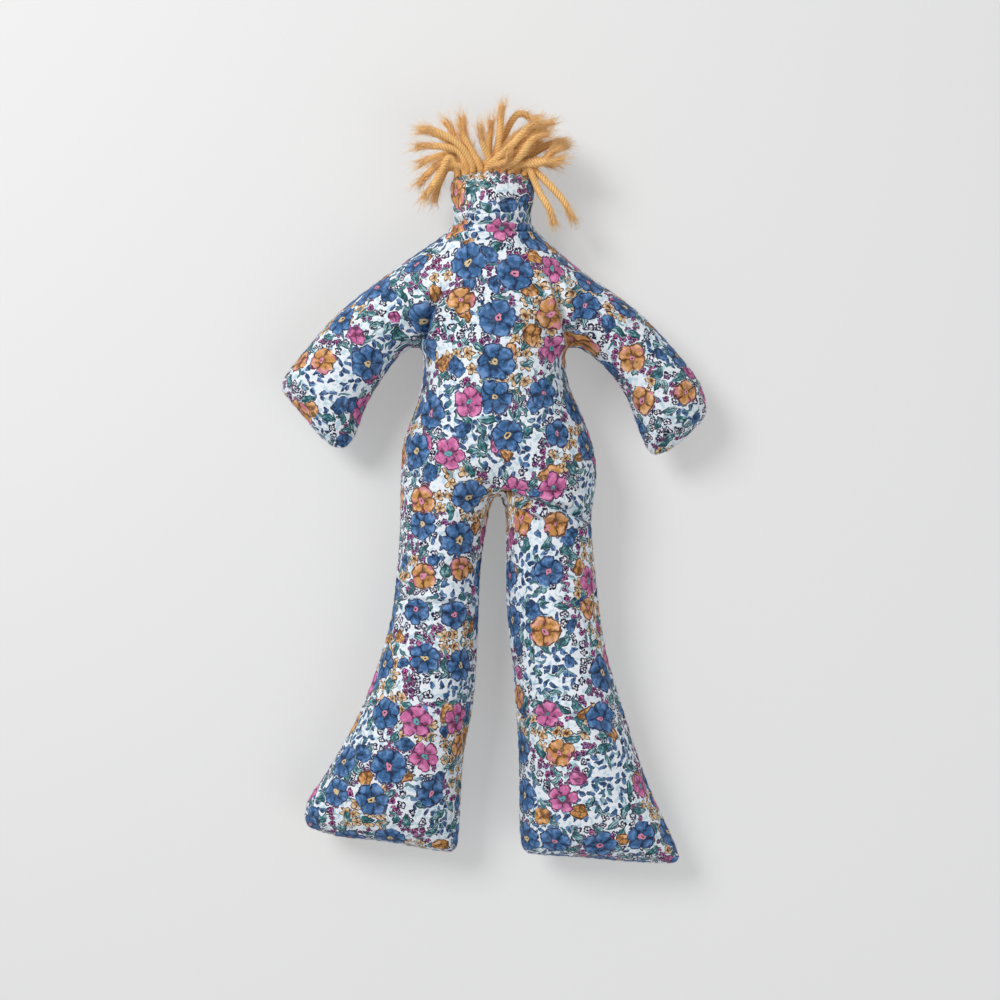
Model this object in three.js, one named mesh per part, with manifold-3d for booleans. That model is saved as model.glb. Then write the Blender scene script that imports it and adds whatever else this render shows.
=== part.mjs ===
// A stuffed cloth doll lying on its back: sewn cloth panels over fibre stuffing, with yarn hair.
// Millimetres. +Z is up, +Y runs towards the head, and the origin is on the flat of the back.
import * as THREE from "three";
import { mergeVertices } from "three/addons/utils/BufferGeometryUtils.js";
import Module from "manifold-3d";

const wasm = await Module();
wasm.setup();

// Cloth, thread and clearances
const clothThickness = 0.5;
const fitGap = 0.3;
const stuffingGap = 0.7;
const threadDiameter = 0.6;
const threadInset = 1.2;
const stuffingInset = 2.4;
const restFlatDepth = 0.5;
const seamEdgeDepth = 0.8;
const cornerRound = 1.7;

// Trunk, with heights along Y measured from the origin
const bodyMidHeight = 23;
const neckHeight = 78;
const shoulderHeight = 69;
const chestHeight = 50;
const armpitHeight = 29;
const bellyHeight = 8;
const hipHeight = -27;
const crotchHeight = -34.5;
const legFoldHeight = -42;
const neckWidth = 31.5;
const shoulderWidth = 53;
const chestWidth = 67;
const armpitWidth = 58.6;
const bellyWidth = 62;
const hipWidth = 82;
const neckDepth = 27;
const shoulderDepth = 33;
const chestDepth = 42;
const bellyDepth = 46;
const hipDepth = 48;
const crotchWidth = 60;
const crotchDepth = 9;

// Head, from the neck fold to the seam across its top
const headLength = 22.3;
const headWidth = 34.8;
const headDepth = 28;
const headTopRounding = 13;
const headDroop = 4;
const headBlendLength = 6;

// Arms, from the armpit to the hand seam
const leftArmLength = 58;
const rightArmLength = 62;
const leftArmTurn = -39;
const rightArmTurn = 36.9;
const leftArmBow = 2.2;
const rightArmBow = 3.6;
const armRootWidth = 28;
const elbowWidth = 28.5;
const wristWidth = 31.5;
const handWidth = 35.5;
const armRootDepth = 28;
const wristDepth = 25;
const handRounding = 19;
const armRootOffset = 18;
const armDroop = 5;
const armBlendLength = 36;
const armBlendWidth = 6;
const armBlendDepth = 14;

// Legs, from the fold at the hip to the foot seam
const leftLegLength = 141;
const rightLegLength = 148.5;
const leftLegLean = 33;
const rightLegLean = 19;
const leftLegBow = -5.5;
const rightLegBow = -4.8;
const legRootWidth = 35.5;
const kneeWidth = 38.6;
const shinWidth = 49.5;
const footWidth = 65;
const legRootDepth = 35;
const shinDepth = 36;
const footRounding = 36;
const legRootOffset = 21.7;
const leftFootSlant = 4.6;
const rightFootSlant = -3.6;
const legRestClearance = 0.5;
const legBlendLength = 20;

// Soft folds where the limbs bend
const limbStart = 2;
const neckFoldLimit = 45;
const limbFoldLimit = 75;

// Yarn hair
const yarnDiameter = 2.8;

// Facets
const wideRing = 16;
const slimRing = 12;
const closingSteps = 4;
const trunkRibs = 10;
const sideThreadSteps = 6;
const threadSides = 4;
const yarnSides = 5;
const yarnSteps = 8;
const nearlyStraight = 0.1;
const farAway = 300;

const clothMaterial = { color: 0x9fa8c4, roughness: 0.9 };
const clothBackMaterial = { color: 0x8f9bbd, roughness: 0.9 };
const stuffingMaterial = { color: 0xf4f2ec, roughness: 1 };
const foldMaterial = { color: 0xa9a3c0, roughness: 0.9 };
const threadMaterial = { color: 0xe9e6df, roughness: 0.8 };
const yarnMaterial = { color: 0xdcab6c, roughness: 0.95 };

const degrees = THREE.MathUtils.degToRad;
const group = new THREE.Group();

function addMesh(name, geometry, material, parent) {
  const mesh = new THREE.Mesh(geometry, new THREE.MeshStandardMaterial({ metalness: 0, ...material }));
  mesh.name = name;
  parent.add(mesh);
  return mesh;
}

// Solids are kept as closed meshes whose corners are shared.
function solid(geometry, matrix) {
  const bare = geometry.clone();
  bare.deleteAttribute("normal");
  bare.deleteAttribute("uv");
  if (matrix) bare.applyMatrix4(matrix);
  const merged = mergeVertices(bare, 1e-4);
  const vertProperties = new Float32Array(merged.attributes.position.array);
  const triVerts = new Uint32Array(merged.index.array);
  return new wasm.Manifold(new wasm.Mesh({ numProp: 3, vertProperties, triVerts }));
}

// A cut can leave crumbs far smaller than a stitch, so the largest body is the piece.
function largestBody(manifold) {
  return manifold.decompose().reduce((best, body) => (body.volume() > best.volume() ? body : best));
}

function surface(manifold) {
  const mesh = largestBody(manifold).getMesh();
  const geometry = new THREE.BufferGeometry();
  geometry.setAttribute("position", new THREE.BufferAttribute(mesh.vertProperties, 3));
  geometry.setIndex(new THREE.BufferAttribute(mesh.triVerts, 1));
  geometry.computeVertexNormals();
  return geometry;
}

function block(lowX, highX, lowY, highY, lowZ, highZ, matrix) {
  const box = new THREE.BoxGeometry(highX - lowX, highY - lowY, highZ - lowZ);
  box.translate((lowX + highX) / 2, (lowY + highY) / 2, (lowZ + highZ) / 2);
  return solid(box, matrix);
}

// Values that run smoothly through a few named sizes, held level beyond the first and last
function smoothSize(places, sizes) {
  const curve = new THREE.CubicInterpolant(places, sizes, 1);
  return (place) => curve.evaluate(place)[0];
}

// A rib is one section across a soft form: where it lies, its half width, and its reach up and down.
function loft(ribs, sides) {
  const positions = [];
  const index = [];
  for (const rib of ribs) {
    for (let side = 0; side < sides; side++) {
      const angle = (2 * Math.PI * side) / sides;
      const reach = Math.sin(angle) > 0 ? rib.up : rib.down;
      const across = Math.cos(angle);
      positions.push(rib.x + rib.half * across, rib.y + rib.slant * across, reach * Math.sin(angle));
    }
  }
  for (let row = 0; row < ribs.length - 1; row++) {
    for (let side = 0; side < sides; side++) {
      const next = (side + 1) % sides;
      const a = row * sides + side;
      const b = row * sides + next;
      index.push(a, b, a + sides, b, b + sides, a + sides);
    }
  }
  const last = (ribs.length - 1) * sides;
  for (let side = 1; side < sides - 1; side++) {
    index.push(0, side + 1, side);
    index.push(last, last + side, last + side + 1);
  }
  const geometry = new THREE.BufferGeometry();
  geometry.setAttribute("position", new THREE.Float32BufferAttribute(positions, 3));
  geometry.setIndex(index);
  return geometry;
}

// Each skin of the form lies at its own depth under the outside of the cloth.
// The stuffing has half as many facets round it as the cloth, so that its corners line up.
const outside = { sides: 0, faces: 0, corner: cornerRound, coarse: 1 };
const clothInside = { sides: clothThickness, faces: clothThickness, corner: cornerRound, coarse: 1 };
const threadRoute = { sides: threadInset, faces: 0, corner: cornerRound + 2 * threadInset, coarse: 1 };
const stuffingFace = {
  sides: stuffingInset, faces: clothThickness + stuffingGap, corner: cornerRound + 6 * threadInset, coarse: 2,
};

// Trunk ribs, from the crotch up to the neck
const trunkPlaces = [
  crotchHeight, (hipHeight + 2 * crotchHeight) / 3, hipHeight, bellyHeight,
  armpitHeight, chestHeight, shoulderHeight, neckHeight,
];
const trunkWidths = [
  crotchWidth, hipWidth * 0.94, hipWidth, bellyWidth,
  armpitWidth, chestWidth, shoulderWidth, neckWidth,
];
const trunkDepths = [
  crotchDepth, hipDepth * 0.8, hipDepth, bellyDepth,
  bellyDepth, chestDepth, shoulderDepth, neckDepth,
];
const trunkWidthAt = smoothSize(trunkPlaces, trunkWidths);
const trunkDepthAt = smoothSize(trunkPlaces, trunkDepths);
const backReach = bodyMidHeight + restFlatDepth;

function trunkRib(y, skin) {
  const depth = trunkDepthAt(y) / 2;
  const lying = y < chestHeight && y >= hipHeight;
  return {
    x: 0,
    y,
    slant: 0,
    half: trunkWidthAt(y) / 2 - skin.sides,
    up: depth - skin.faces,
    down: (lying ? backReach : Math.min(depth, backReach)) - skin.faces,
  };
}

function trunkSolid(skin) {
  const heights = [crotchHeight + skin.faces, (hipHeight + 2 * crotchHeight) / 3];
  for (let step = 0; step <= trunkRibs; step++) {
    heights.push(hipHeight + ((neckHeight - hipHeight) * step) / trunkRibs);
  }
  heights.push(neckHeight + limbStart + 1);
  const ribs = heights.map((y) => trunkRib(y, skin));
  ribs.reverse();
  const lift = new THREE.Matrix4().makeTranslation(0, 0, bodyMidHeight);
  return solid(loft(ribs, wideRing / skin.coarse), lift);
}

// A limb is drawn along its own -Y from the fold line at its root, and then turned into place.
function limbShape(limb, skin) {
  const start = limb.stub;
  const closeFrom = limb.length - limb.rounding;
  const widths = smoothSize(limb.places, limb.widths);
  const depths = smoothSize(limb.places, limb.depths);
  const endHalf = limb.widths[limb.widths.length - 1] / 2;
  const rib = (along, squeeze, corner = 0) => {
    const share = THREE.MathUtils.clamp(along / limb.length, 0, 1);
    const depth = (depths(along) / 2 - skin.faces) * squeeze;
    const edge = Math.max(depth, seamEdgeDepth / 2);
    const half = widths(along) / 2 - skin.sides - corner;
    return {
      x: limb.side * (limb.offset + limb.lean * share + limb.bow * 4 * share * (1 - share)),
      y: -along,
      slant: limb.slant * THREE.MathUtils.smoothstep(share, 0.4, 1) * (half / endHalf),
      half,
      up: edge,
      down: edge,
    };
  };
  const ribs = [];
  for (let step = 0; step < limb.ribs; step++) {
    ribs.push(rib(-start + ((closeFrom + start) * step) / limb.ribs, 1));
  }
  const rounding = limb.rounding - skin.sides;
  for (let step = 0; step <= closingSteps; step++) {
    const angle = (Math.PI / 2) * (step / closingSteps);
    const corner = step === closingSteps ? skin.corner : 0;
    ribs.push(rib(closeFrom + rounding * Math.sin(angle), Math.cos(angle), corner));
  }
  return ribs;
}

const limbs = {};

function addLimb(name, limb) {
  const frame = new THREE.Group();
  frame.position.set(limb.fold[0], limb.fold[1], bodyMidHeight);
  frame.rotation.set(degrees(limb.droop), 0, degrees(limb.turn), "ZYX");
  frame.updateMatrix();
  group.add(frame);
  limbs[name] = { ...limb, name, frame };
}

addLimb("head", {
  fold: [0, neckHeight], turn: 180, droop: headDroop, side: 1, offset: 0, lean: 0, bow: 0, slant: 0,
  length: headLength, rounding: headTopRounding, ribs: 4, ring: slimRing,
  stub: headBlendLength, foldLimit: neckFoldLimit,
  inner: -headWidth / 2 - 1, outer: headWidth / 2 + 1,
  places: [-headBlendLength, 0, headLength * 0.6, headLength],
  widths: [neckWidth, neckWidth, headWidth, headWidth],
  depths: [neckDepth, neckDepth, headDepth, headDepth],
});

for (const [name, side, length, turn, bow] of [
  ["left_arm", -1, leftArmLength, leftArmTurn, leftArmBow],
  ["right_arm", 1, rightArmLength, rightArmTurn, rightArmBow],
]) {
  addLimb(name, {
    fold: [(side * armpitWidth) / 2, armpitHeight], turn, droop: armDroop, side, offset: armRootOffset,
    lean: 0, bow, slant: 0, length, rounding: handRounding, ribs: 6, ring: slimRing,
    stub: armBlendLength, foldLimit: limbFoldLimit, inner: 0, outer: 2 * armRootWidth,
    places: [-armBlendLength, 0, length * 0.35, length * 0.7, length],
    widths: [armBlendWidth, armRootWidth, elbowWidth, wristWidth, handWidth],
    depths: [armBlendDepth, armRootDepth, (armRootDepth + wristDepth) / 2, wristDepth, wristDepth],
  });
}

for (const [name, side, length, lean, bow, slant] of [
  ["left_leg", -1, leftLegLength, leftLegLean, leftLegBow, leftFootSlant],
  ["right_leg", 1, rightLegLength, rightLegLean, rightLegBow, rightFootSlant],
]) {
  const restAt = length - footRounding;
  const fall = bodyMidHeight - legRestClearance - shinDepth / 2;
  addLimb(name, {
    fold: [0, legFoldHeight], turn: 0, droop: THREE.MathUtils.radToDeg(Math.asin(fall / restAt)), side,
    offset: legRootOffset, lean, bow, slant, length, rounding: footRounding, ribs: 7, ring: wideRing,
    stub: legBlendLength, foldLimit: limbFoldLimit, inner: fitGap / 2, outer: 2 * footWidth,
    places: [-legBlendLength, 0, length * 0.35, length * 0.7, length],
    widths: [legRootWidth * 0.8, legRootWidth, kneeWidth, shinWidth, footWidth],
    depths: [legRootDepth, legRootDepth, (legRootDepth + shinDepth) / 2, shinDepth, shinDepth],
  });
}

function limbSolid(limb, skin, stub, matrix) {
  return solid(loft(limbShape({ ...limb, stub }, skin), limb.ring / skin.coarse), matrix);
}

// The whole stuffed form under one skin: the trunk joined to the limbs where they meet it
function bodySolid(skin) {
  let body = trunkSolid(skin);
  for (const limb of Object.values(limbs)) {
    body = body.add(limbSolid(limb, skin, limb.stub, limb.frame.matrix));
  }
  const table = block(-farAway, farAway, -farAway, farAway, -farAway, skin.faces);
  return body.subtract(table);
}

// A fold reaches back into the trunk as far as the limb's root needs to turn to its limit.
function foldReach(limb) {
  return (limb.depths[1] / 2) * Math.sin(degrees(limb.foldLimit)) + fitGap;
}

function foldSpace(limb, grow, far) {
  const edges = [limb.side * (limb.inner - grow), limb.side * (limb.outer + grow)];
  const [low, high] = [Math.min(...edges), Math.max(...edges)];
  return block(low, high, -far, foldReach(limb) + grow, -farAway, farAway, limb.frame.matrix);
}

function splitPanels(shell, middle) {
  const above = block(-farAway, farAway, -farAway, farAway, middle + fitGap / 2, farAway);
  const below = block(-farAway, farAway, -farAway, farAway, -farAway, middle - fitGap / 2);
  return [shell.intersect(above), shell.intersect(below)];
}

function addPanels(name, shell, middle, parent) {
  const [front, back] = splitPanels(shell, middle);
  addMesh(`${name}_front_cloth`, surface(front), clothMaterial, parent);
  addMesh(`${name}_back_cloth`, surface(back), clothBackMaterial, parent);
}

// Thread and yarn are round, with few sides.
function strand(points, diameter, sides, steps, curve) {
  const outline = [];
  for (let side = 0; side < sides; side++) {
    const angle = (2 * Math.PI * side) / sides;
    outline.push(new THREE.Vector2(Math.cos(angle), Math.sin(angle)).multiplyScalar(diameter / 2));
  }
  const extrudePath = new THREE.CatmullRomCurve3(points, false, curve, nearlyStraight);
  return new THREE.ExtrudeGeometry(new THREE.Shape(outline), { steps, extrudePath, bevelEnabled: false });
}

function addTorso() {
  let shell = bodySolid(outside);
  let stuffing = bodySolid(stuffingFace);
  for (const limb of Object.values(limbs)) {
    const space = foldSpace(limb, fitGap, farAway);
    const fold = bodySolid(outside).intersect(foldSpace(limb, 0, limbStart - fitGap));
    addMesh(`${limb.name}_fold`, surface(fold), foldMaterial, group);
    shell = shell.subtract(space);
    stuffing = stuffing.subtract(space);
  }
  addPanels("torso", shell.subtract(bodySolid(clothInside)), bodyMidHeight, group);
  addMesh("torso_stuffing", surface(stuffing), stuffingMaterial, group);
}

function addLimbPieces(limb) {
  const cloth = limbSolid(limb, outside, -limbStart).subtract(limbSolid(limb, clothInside, limbStart));
  addPanels(limb.name, cloth, 0, limb.frame);
  const stuffing = limbSolid(limb, stuffingFace, -limbStart);
  addMesh(`${limb.name}_stuffing`, surface(stuffing), stuffingMaterial, limb.frame);
  addSeamThread(limb);
}

// The sewing thread runs just inside the cloth, down one side of a limb, across its end and back.
function addSeamThread(limb) {
  const ribs = limbShape({ ...limb, stub: -limbStart }, threadRoute);
  const edge = (rib, way) => new THREE.Vector3(rib.x + way * rib.half, rib.y + way * rib.slant, 0);
  const last = ribs[ribs.length - 1];
  const points = ribs.map((rib) => edge(rib, -1));
  for (const across of [-0.9, -0.3, 0.3, 0.9]) points.push(edge(last, across));
  points.push(...ribs.reverse().map((rib) => edge(rib, 1)));
  const geometry = strand(points, threadDiameter, threadSides, 2 * points.length, "catmullrom");
  addMesh(`${limb.name}_seam_thread`, geometry, threadMaterial, limb.frame);
}

function addSideThreads() {
  const low = legFoldHeight + foldReach(limbs.left_leg) + 2 * fitGap;
  const high = armpitHeight - 2 * threadInset;
  for (const [name, side] of [["left", -1], ["right", 1]]) {
    const points = [];
    for (let step = 0; step <= sideThreadSteps; step++) {
      const y = low + ((high - low) * step) / sideThreadSteps;
      points.push(new THREE.Vector3(side * (trunkWidthAt(y) / 2 - threadInset), y, bodyMidHeight));
    }
    const geometry = strand(points, threadDiameter, threadSides, sideThreadSteps, "catmullrom");
    addMesh(`${name}_side_seam_thread`, geometry, threadMaterial, group);
  }
}

// Yarn locks: place along the head seam, then how far the tip reaches across, along and up from it
const hairRows = [
  {
    row: 1,
    locks: [
      [-14.5, -30, -14, 7], [-10.5, -34, 8, 10], [-7, -31, 14, 11], [-3.5, -19, 20, 10], [0, -3, 19, 13],
      [3.5, 5, 28, 9], [7, 17.5, 24, 10], [10.5, 27, 18, 9], [14, 26, -21, 6],
    ],
  },
  {
    row: 0,
    locks: [
      [-14, -33, -6, 1], [-10.5, -31, 17, 1], [-7, -22, 22, 1], [-3.5, -10, 23, 1], [0, 1, 25, 1],
      [3.5, 11, 26, 1], [7, 21, 20, 1], [10.5, 33, 11, 1], [14, 34, -20, -1],
    ],
  },
  {
    row: -1,
    locks: [
      [-12, -28, -9, -7], [-8, -28, 8, -8], [-4, -14, 23, -8], [0, 5, 20, -8], [4, 16, 18, -8],
      [8, 27, 13, -8], [12, 29, 1, -7],
    ],
  },
];

function addHair(head) {
  const pitch = yarnDiameter + fitGap;
  let count = 0;
  for (const { row, locks } of hairRows) {
    for (const [rootX, tipX, tipY, tipZ] of locks) {
      const way = Math.sign(tipX);
      const root = new THREE.Vector3(rootX, fitGap, row * pitch);
      const lift = yarnDiameter * (1 + 2 * Math.max(0, 1 - Math.abs(rootX) / (headWidth / 2)));
      const rise = new THREE.Vector3(rootX, lift, row * pitch);
      const tip = new THREE.Vector3(tipX, tipY, tipZ);
      const bend = new THREE.Vector3().lerpVectors(rise, tip, 0.55);
      bend.y += yarnDiameter * 0.8;
      if (tipY < 0) bend.set(way * (headWidth / 2 + 2 * yarnDiameter), 0, tipZ * 0.6 + row * pitch * 0.4);
      const points = [root, new THREE.Vector3().lerpVectors(root, rise, 0.4), rise, bend, tip];
      const geometry = strand(points, yarnDiameter, yarnSides, yarnSteps, "centripetal");
      geometry.rotateZ(Math.PI);
      geometry.translate(0, -headLength, 0);
      count += 1;
      addMesh(`hair_lock_${String(count).padStart(2, "0")}`, geometry, yarnMaterial, head.frame);
    }
  }
}

addTorso();
for (const limb of Object.values(limbs)) addLimbPieces(limb);
addSideThreads();
addHair(limbs.head);

export default group;
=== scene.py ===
"""A stuffed cloth doll on its back: one printed skin cut at the limbs, stitched seams and plied yarn hair."""
import math

import bpy
import numpy as np
from bpy.props import FloatProperty, FloatVectorProperty, IntProperty, PointerProperty
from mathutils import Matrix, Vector, geometry


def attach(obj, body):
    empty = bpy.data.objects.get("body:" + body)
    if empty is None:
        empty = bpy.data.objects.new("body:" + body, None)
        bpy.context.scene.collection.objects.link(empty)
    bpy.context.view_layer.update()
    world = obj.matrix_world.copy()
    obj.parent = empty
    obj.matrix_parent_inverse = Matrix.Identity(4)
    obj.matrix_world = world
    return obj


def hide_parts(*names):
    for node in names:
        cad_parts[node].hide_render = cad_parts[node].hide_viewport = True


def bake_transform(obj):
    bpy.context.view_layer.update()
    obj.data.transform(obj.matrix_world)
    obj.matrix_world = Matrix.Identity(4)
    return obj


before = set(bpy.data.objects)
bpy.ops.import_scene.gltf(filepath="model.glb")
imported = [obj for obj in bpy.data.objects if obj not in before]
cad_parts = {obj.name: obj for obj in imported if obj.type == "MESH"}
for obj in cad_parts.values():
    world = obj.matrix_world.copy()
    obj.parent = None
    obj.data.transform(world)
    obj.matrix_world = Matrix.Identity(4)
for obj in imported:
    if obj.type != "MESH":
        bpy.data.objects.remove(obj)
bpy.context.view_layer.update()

bl_info = {
    "name": "Stuffed Cloth Doll",
    "version": (1, 0, 0),
    "blender": (4, 5, 0),
    "location": "View3D > Sidebar > Doll",
    "description": "Sews, stitches, and dresses a stuffed cloth doll with yarn hair",
    "category": "Object",
}

MM = 0.001

# The body as the frame holds it, in millimetres
MID_HEIGHT = 23.0
NECK_FOLD = 78.0
LEG_FOLD = -42.0
CROTCH = (0.0, -34.5)
ARMPIT = (29.3, 29.0)
ARM_WAY = {"left": (-0.6293, -0.7771), "right": (0.6004, -0.7997)}
HEAD_DROOP = math.tan(math.radians(4.0))
ARM_DROOP = math.tan(math.radians(5.0))
LEG_DROOP = 0.042

# Where the skin is cut at the limbs, in millimetres and as slopes of the cuts
NECK_CUT_HALF_WIDTH = 26
NECK_CUT_DROP = 9
ARM_CUT_GAP = 1.0
ARM_CUT_SLOPE = 0.62
LEG_CUT_SLOPE = 0.256

# The doll's outline seen from the front, in millimetres: each run ends at a sewn corner
OUTLINE_RUNS = [
    [(-16.4, 98.9), (-8.5, 100.2), (0.0, 100.5), (8.5, 99.9), (16.2, 98.3)],
    [
        (16.2, 98.3), (17.4, 91.5), (16.0, 84.5), (16.4, 76.8), (23.9, 69.3), (36.7, 57.5), (61.4, 38.6),
        (80.6, 17.3), (86.9, 7.5), (88.9, -3.4),
    ],
    [(88.9, -3.4), (81.0, -11.0), (72.2, -17.8), (65.4, -19.9)],
    [
        (65.4, -19.9), (61.9, -12.8), (58.8, -4.2), (55.0, 5.9), (48.7, 15.2), (41.0, 23.0), (34.0, 27.2),
        (29.6, 25.6), (29.3, 19.0), (30.9, 8.8), (35.3, -1.7), (39.6, -14.5), (41.2, -27.5), (39.4, -38.5),
        (38.3, -46.5), (38.8, -57.0), (40.2, -73.0), (43.5, -99.5), (50.0, -124.0), (60.5, -158.5),
        (71.0, -184.0), (73.6, -193.2),
    ],
    [(73.6, -193.2), (53.4, -192.0), (31.0, -189.6), (14.5, -188.2), (7.6, -187.2)],
    [
        (7.6, -187.2), (6.5, -176.0), (6.5, -150.0), (5.0, -115.0), (2.8, -84.0), (3.1, -60.0), (3.5, -45.0),
        (2.3, -37.0), (-0.4, -34.6), (-3.0, -37.2), (-5.2, -46.0), (-8.5, -66.0), (-10.2, -95.0),
        (-12.4, -122.0), (-17.2, -147.0), (-19.8, -176.0), (-21.2, -186.6),
    ],
    [(-21.2, -186.6), (-30.0, -185.4), (-51.8, -181.1), (-70.0, -178.8), (-84.4, -174.4)],
    [
        (-84.4, -174.4), (-83.2, -164.0), (-76.0, -153.5), (-61.8, -129.0), (-51.6, -104.0), (-46.0, -86.0),
        (-43.2, -68.0), (-41.4, -50.0), (-40.7, -30.0), (-39.6, -13.0), (-35.0, -0.8), (-31.8, 9.8),
        (-30.4, 20.0), (-31.2, 27.6), (-37.4, 27.6), (-44.4, 20.8), (-55.0, 4.8), (-58.6, -3.8),
        (-62.4, -11.6), (-66.6, -14.9),
    ],
    [(-66.6, -14.9), (-73.5, -10.4), (-82.7, 0.8), (-90.9, 10.6)],
    [
        (-90.9, 10.6), (-89.6, 15.6), (-74.2, 33.4), (-63.5, 43.7), (-39.5, 61.3), (-24.5, 71.4),
        (-16.9, 77.6), (-16.4, 84.5), (-17.5, 91.5), (-16.4, 98.9),
    ],
]

# How the stuffing rounds each part: no half thickness grows past about this, in millimetres
TRUNK_FULLNESS = 30.0
LEG_FULLNESS = 22.5
ARM_FULLNESS = 18.0
STEEPEST = 30.0

# Where the trunk's fullness eases into a leg's, down from the middle, and into an arm's, along the arm
LEG_EASE = (45, 75)
ARM_EASE = (0, 20)

# How the sewn cotton gives while it settles round its stuffing
STUFFED_CLOTH = {
    "quality": 6, "mass": 0.02, "tension_stiffness": 18, "compression_stiffness": 12, "shear_stiffness": 6,
    "bending_stiffness": 0.15, "tension_damping": 8, "compression_damping": 8, "shear_damping": 6,
    "air_damping": 3, "use_pressure": True, "uniform_pressure_force": 6, "pin_stiffness": 2,
}

# Creases in the front, in millimetres: points from the deep end on, the depth, the half width, and how much
# cloth they gather
CREASES = [
    ([(1.0, -35.5), (12.0, -38.5), (26.0, -42.5), (41.5, -48.0)], 4.2, 1.5, 2.4),
    ([(3.5, -40.5), (15.0, -45.5), (30.0, -51.0)], 2.2, 1.2, 1.6),
    ([(9.0, -33.5), (20.0, -35.0), (33.0, -36.5)], 1.7, 1.2, 1.2),
    ([(-2.5, -37.0), (-12.0, -38.5), (-25.0, -36.5)], 1.4, 1.5, 1.0),
    ([(-30.5, 28.0), (-27.0, 37.0), (-23.5, 45.0), (-17.5, 51.0)], 3.8, 1.5, 2.2),
    ([(-31.5, 29.0), (-35.0, 38.0), (-36.0, 47.0)], 1.7, 1.3, 1.2),
    ([(30.5, 28.0), (28.0, 38.0), (25.5, 48.0), (21.0, 57.0)], 3.8, 1.5, 2.2),
    ([(31.5, 28.5), (35.5, 36.0), (37.0, 45.0)], 1.7, 1.3, 1.2),
    ([(-17.5, 78.5), (-6.0, 76.0), (6.0, 76.2), (17.5, 78.6)], 2.2, 1.1, 1.8),
    ([(18.5, 75.0), (7.0, 72.4), (-6.0, 72.6), (-19.5, 74.6)], 1.7, 0.9, 1.5),
    ([(-16.4, 83.0), (-5.0, 80.4), (7.0, 80.6), (16.0, 82.4)], 1.5, 0.8, 1.3),
    ([(-22.5, 70.5), (-10.0, 69.2), (3.0, 70.2)], 1.6, 0.9, 1.2),
    ([(15.0, 86.5), (3.0, 84.2), (-8.0, 85.2)], 1.0, 0.8, 0.7),
    ([(-43.0, -76.0), (-33.0, -79.5), (-20.0, -80.0), (-10.0, -77.0)], 1.4, 1.3, 0.9),
    ([(-44.0, -71.0), (-34.0, -74.0), (-24.0, -73.0)], 1.1, 1.1, 0.7),
    ([(6.0, -128.5), (20.0, -127.0), (36.0, -128.0), (51.0, -131.0)], 1.3, 1.0, 0.9),
    ([(41.0, -78.0), (31.0, -81.0), (20.0, -80.0)], 1.0, 1.2, 0.7),
    ([(-38.0, -8.0), (-28.0, -5.0), (-16.0, -5.5)], 0.9, 1.3, 0.6),
    ([(39.5, -20.0), (30.0, -22.0), (20.0, -21.0)], 1.0, 1.2, 0.7),
]
SEAM_GATHERS = 9

# Hair locks, in millimetres: row towards the front, place along the head seam, where the lock bends and where
# it ends. Places count across from the middle, up from the seam and then towards the front
HAIR_ROW_STEP = 3.1
HEAD_TOP = 100.3
HAIR_LOCKS = [
    (1, -14.5, -18, 5.5, -30, -14, 7), (1, -10.5, -15, 8.5, -34, 9, 10), (1, -8, -13.5, 10, -32, 15.5, 11),
    (1, -4, -11.5, 13, -13, 23, 10), (1, -1, -3, 10, -3, 19, 12), (1, 2, 3, 14, 5, 28, 9),
    (1, -3, 7.5, 8.5, 22, 18, 12), (1, 4, 14, 9, 28, 19, 9), (1, 14, 20, -9, 26, -26, 5),
    (0, -14, -17.5, 7, -33, -7, 1), (0, -11, -15, 11, -31.5, 18, 2), (0, -7, -13, 12, -22, 22, 1),
    (0, -5, -11, 12, -13, 22, 2), (0, -1, -1, 12, 0, 24, 1), (0, -1, 10, 22, 22, 21, 3),
    (0, 3, 11, 10.5, 22, 20, 2), (0, 9, 17, 7.5, 33, 12.5, 1), (0, 14.5, 22.5, -5, 35, -23, -1),
    (-1, -12, -19, 3, -26, -13, -7),
    (-1, -8, -16, 9, -33, 5, -8), (-1, -4, -9, 12, -14, 22, -8), (-1, 0, 2, 12, 6, 21, -8),
    (-1, 4, 10, 12, 17, 20, -8), (-1, 8, 16, 8, 27, 14, -8), (-1, 12, 18, 5, 29, 3, -7),
]
SHORT_LOCKS = 28

# One yarn, as shares of its diameter: how far its plies lie from its middle, their radius and its core's
PLY_REACH = 0.27
PLY_RADIUS = 0.23
CORE_RADIUS = 0.16

# One yarn, in millimetres: the step between points of its route, how deep its root lies under the seam, the
# length that thins out at its tip, and the radius of a loose fibre at its root and at its end
YARN_STEP = 0.4
ROOT_DEPTH = 2.0
FRAYED_LENGTH = 11
FIBRE_RADII = (0.06, 0.035)

# The print repeats over this square of flat cloth, in millimetres, for the texture coordinates
PRINT_SQUARE = 420.0
BACK_PANEL_SHIFT = (0.43, 0.17)

# Further colours of the print: washes, small motifs, flower hearts and drawn lines; then painted shade for
# the weave's hollows
FAINT_BLUE = (0.54, 0.72, 0.80, 1.0)
WHITE = (0.90, 0.90, 0.94, 1.0)
MAUVE = (0.62, 0.17, 0.42, 1.0)
VIOLET = (0.40, 0.20, 0.44, 1.0)
STRAW = (0.84, 0.62, 0.36, 1.0)
TAN = (0.72, 0.56, 0.30, 1.0)
ROSE = (0.74, 0.28, 0.40, 1.0)
TEAL = (0.13, 0.44, 0.46, 1.0)
PLUM = (0.085, 0.010, 0.065, 1.0)
BROWN = (0.10, 0.030, 0.012, 1.0)
BOTTLE = (0.012, 0.045, 0.055, 1.0)
WEAVE_SHADE = (0.30, 0.30, 0.42, 1.0)
HANDLED = (0.45, 0.45, 0.60, 1.0)
YARN_ROOT = (0.60, 0.24, 0.05, 1.0)

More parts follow.
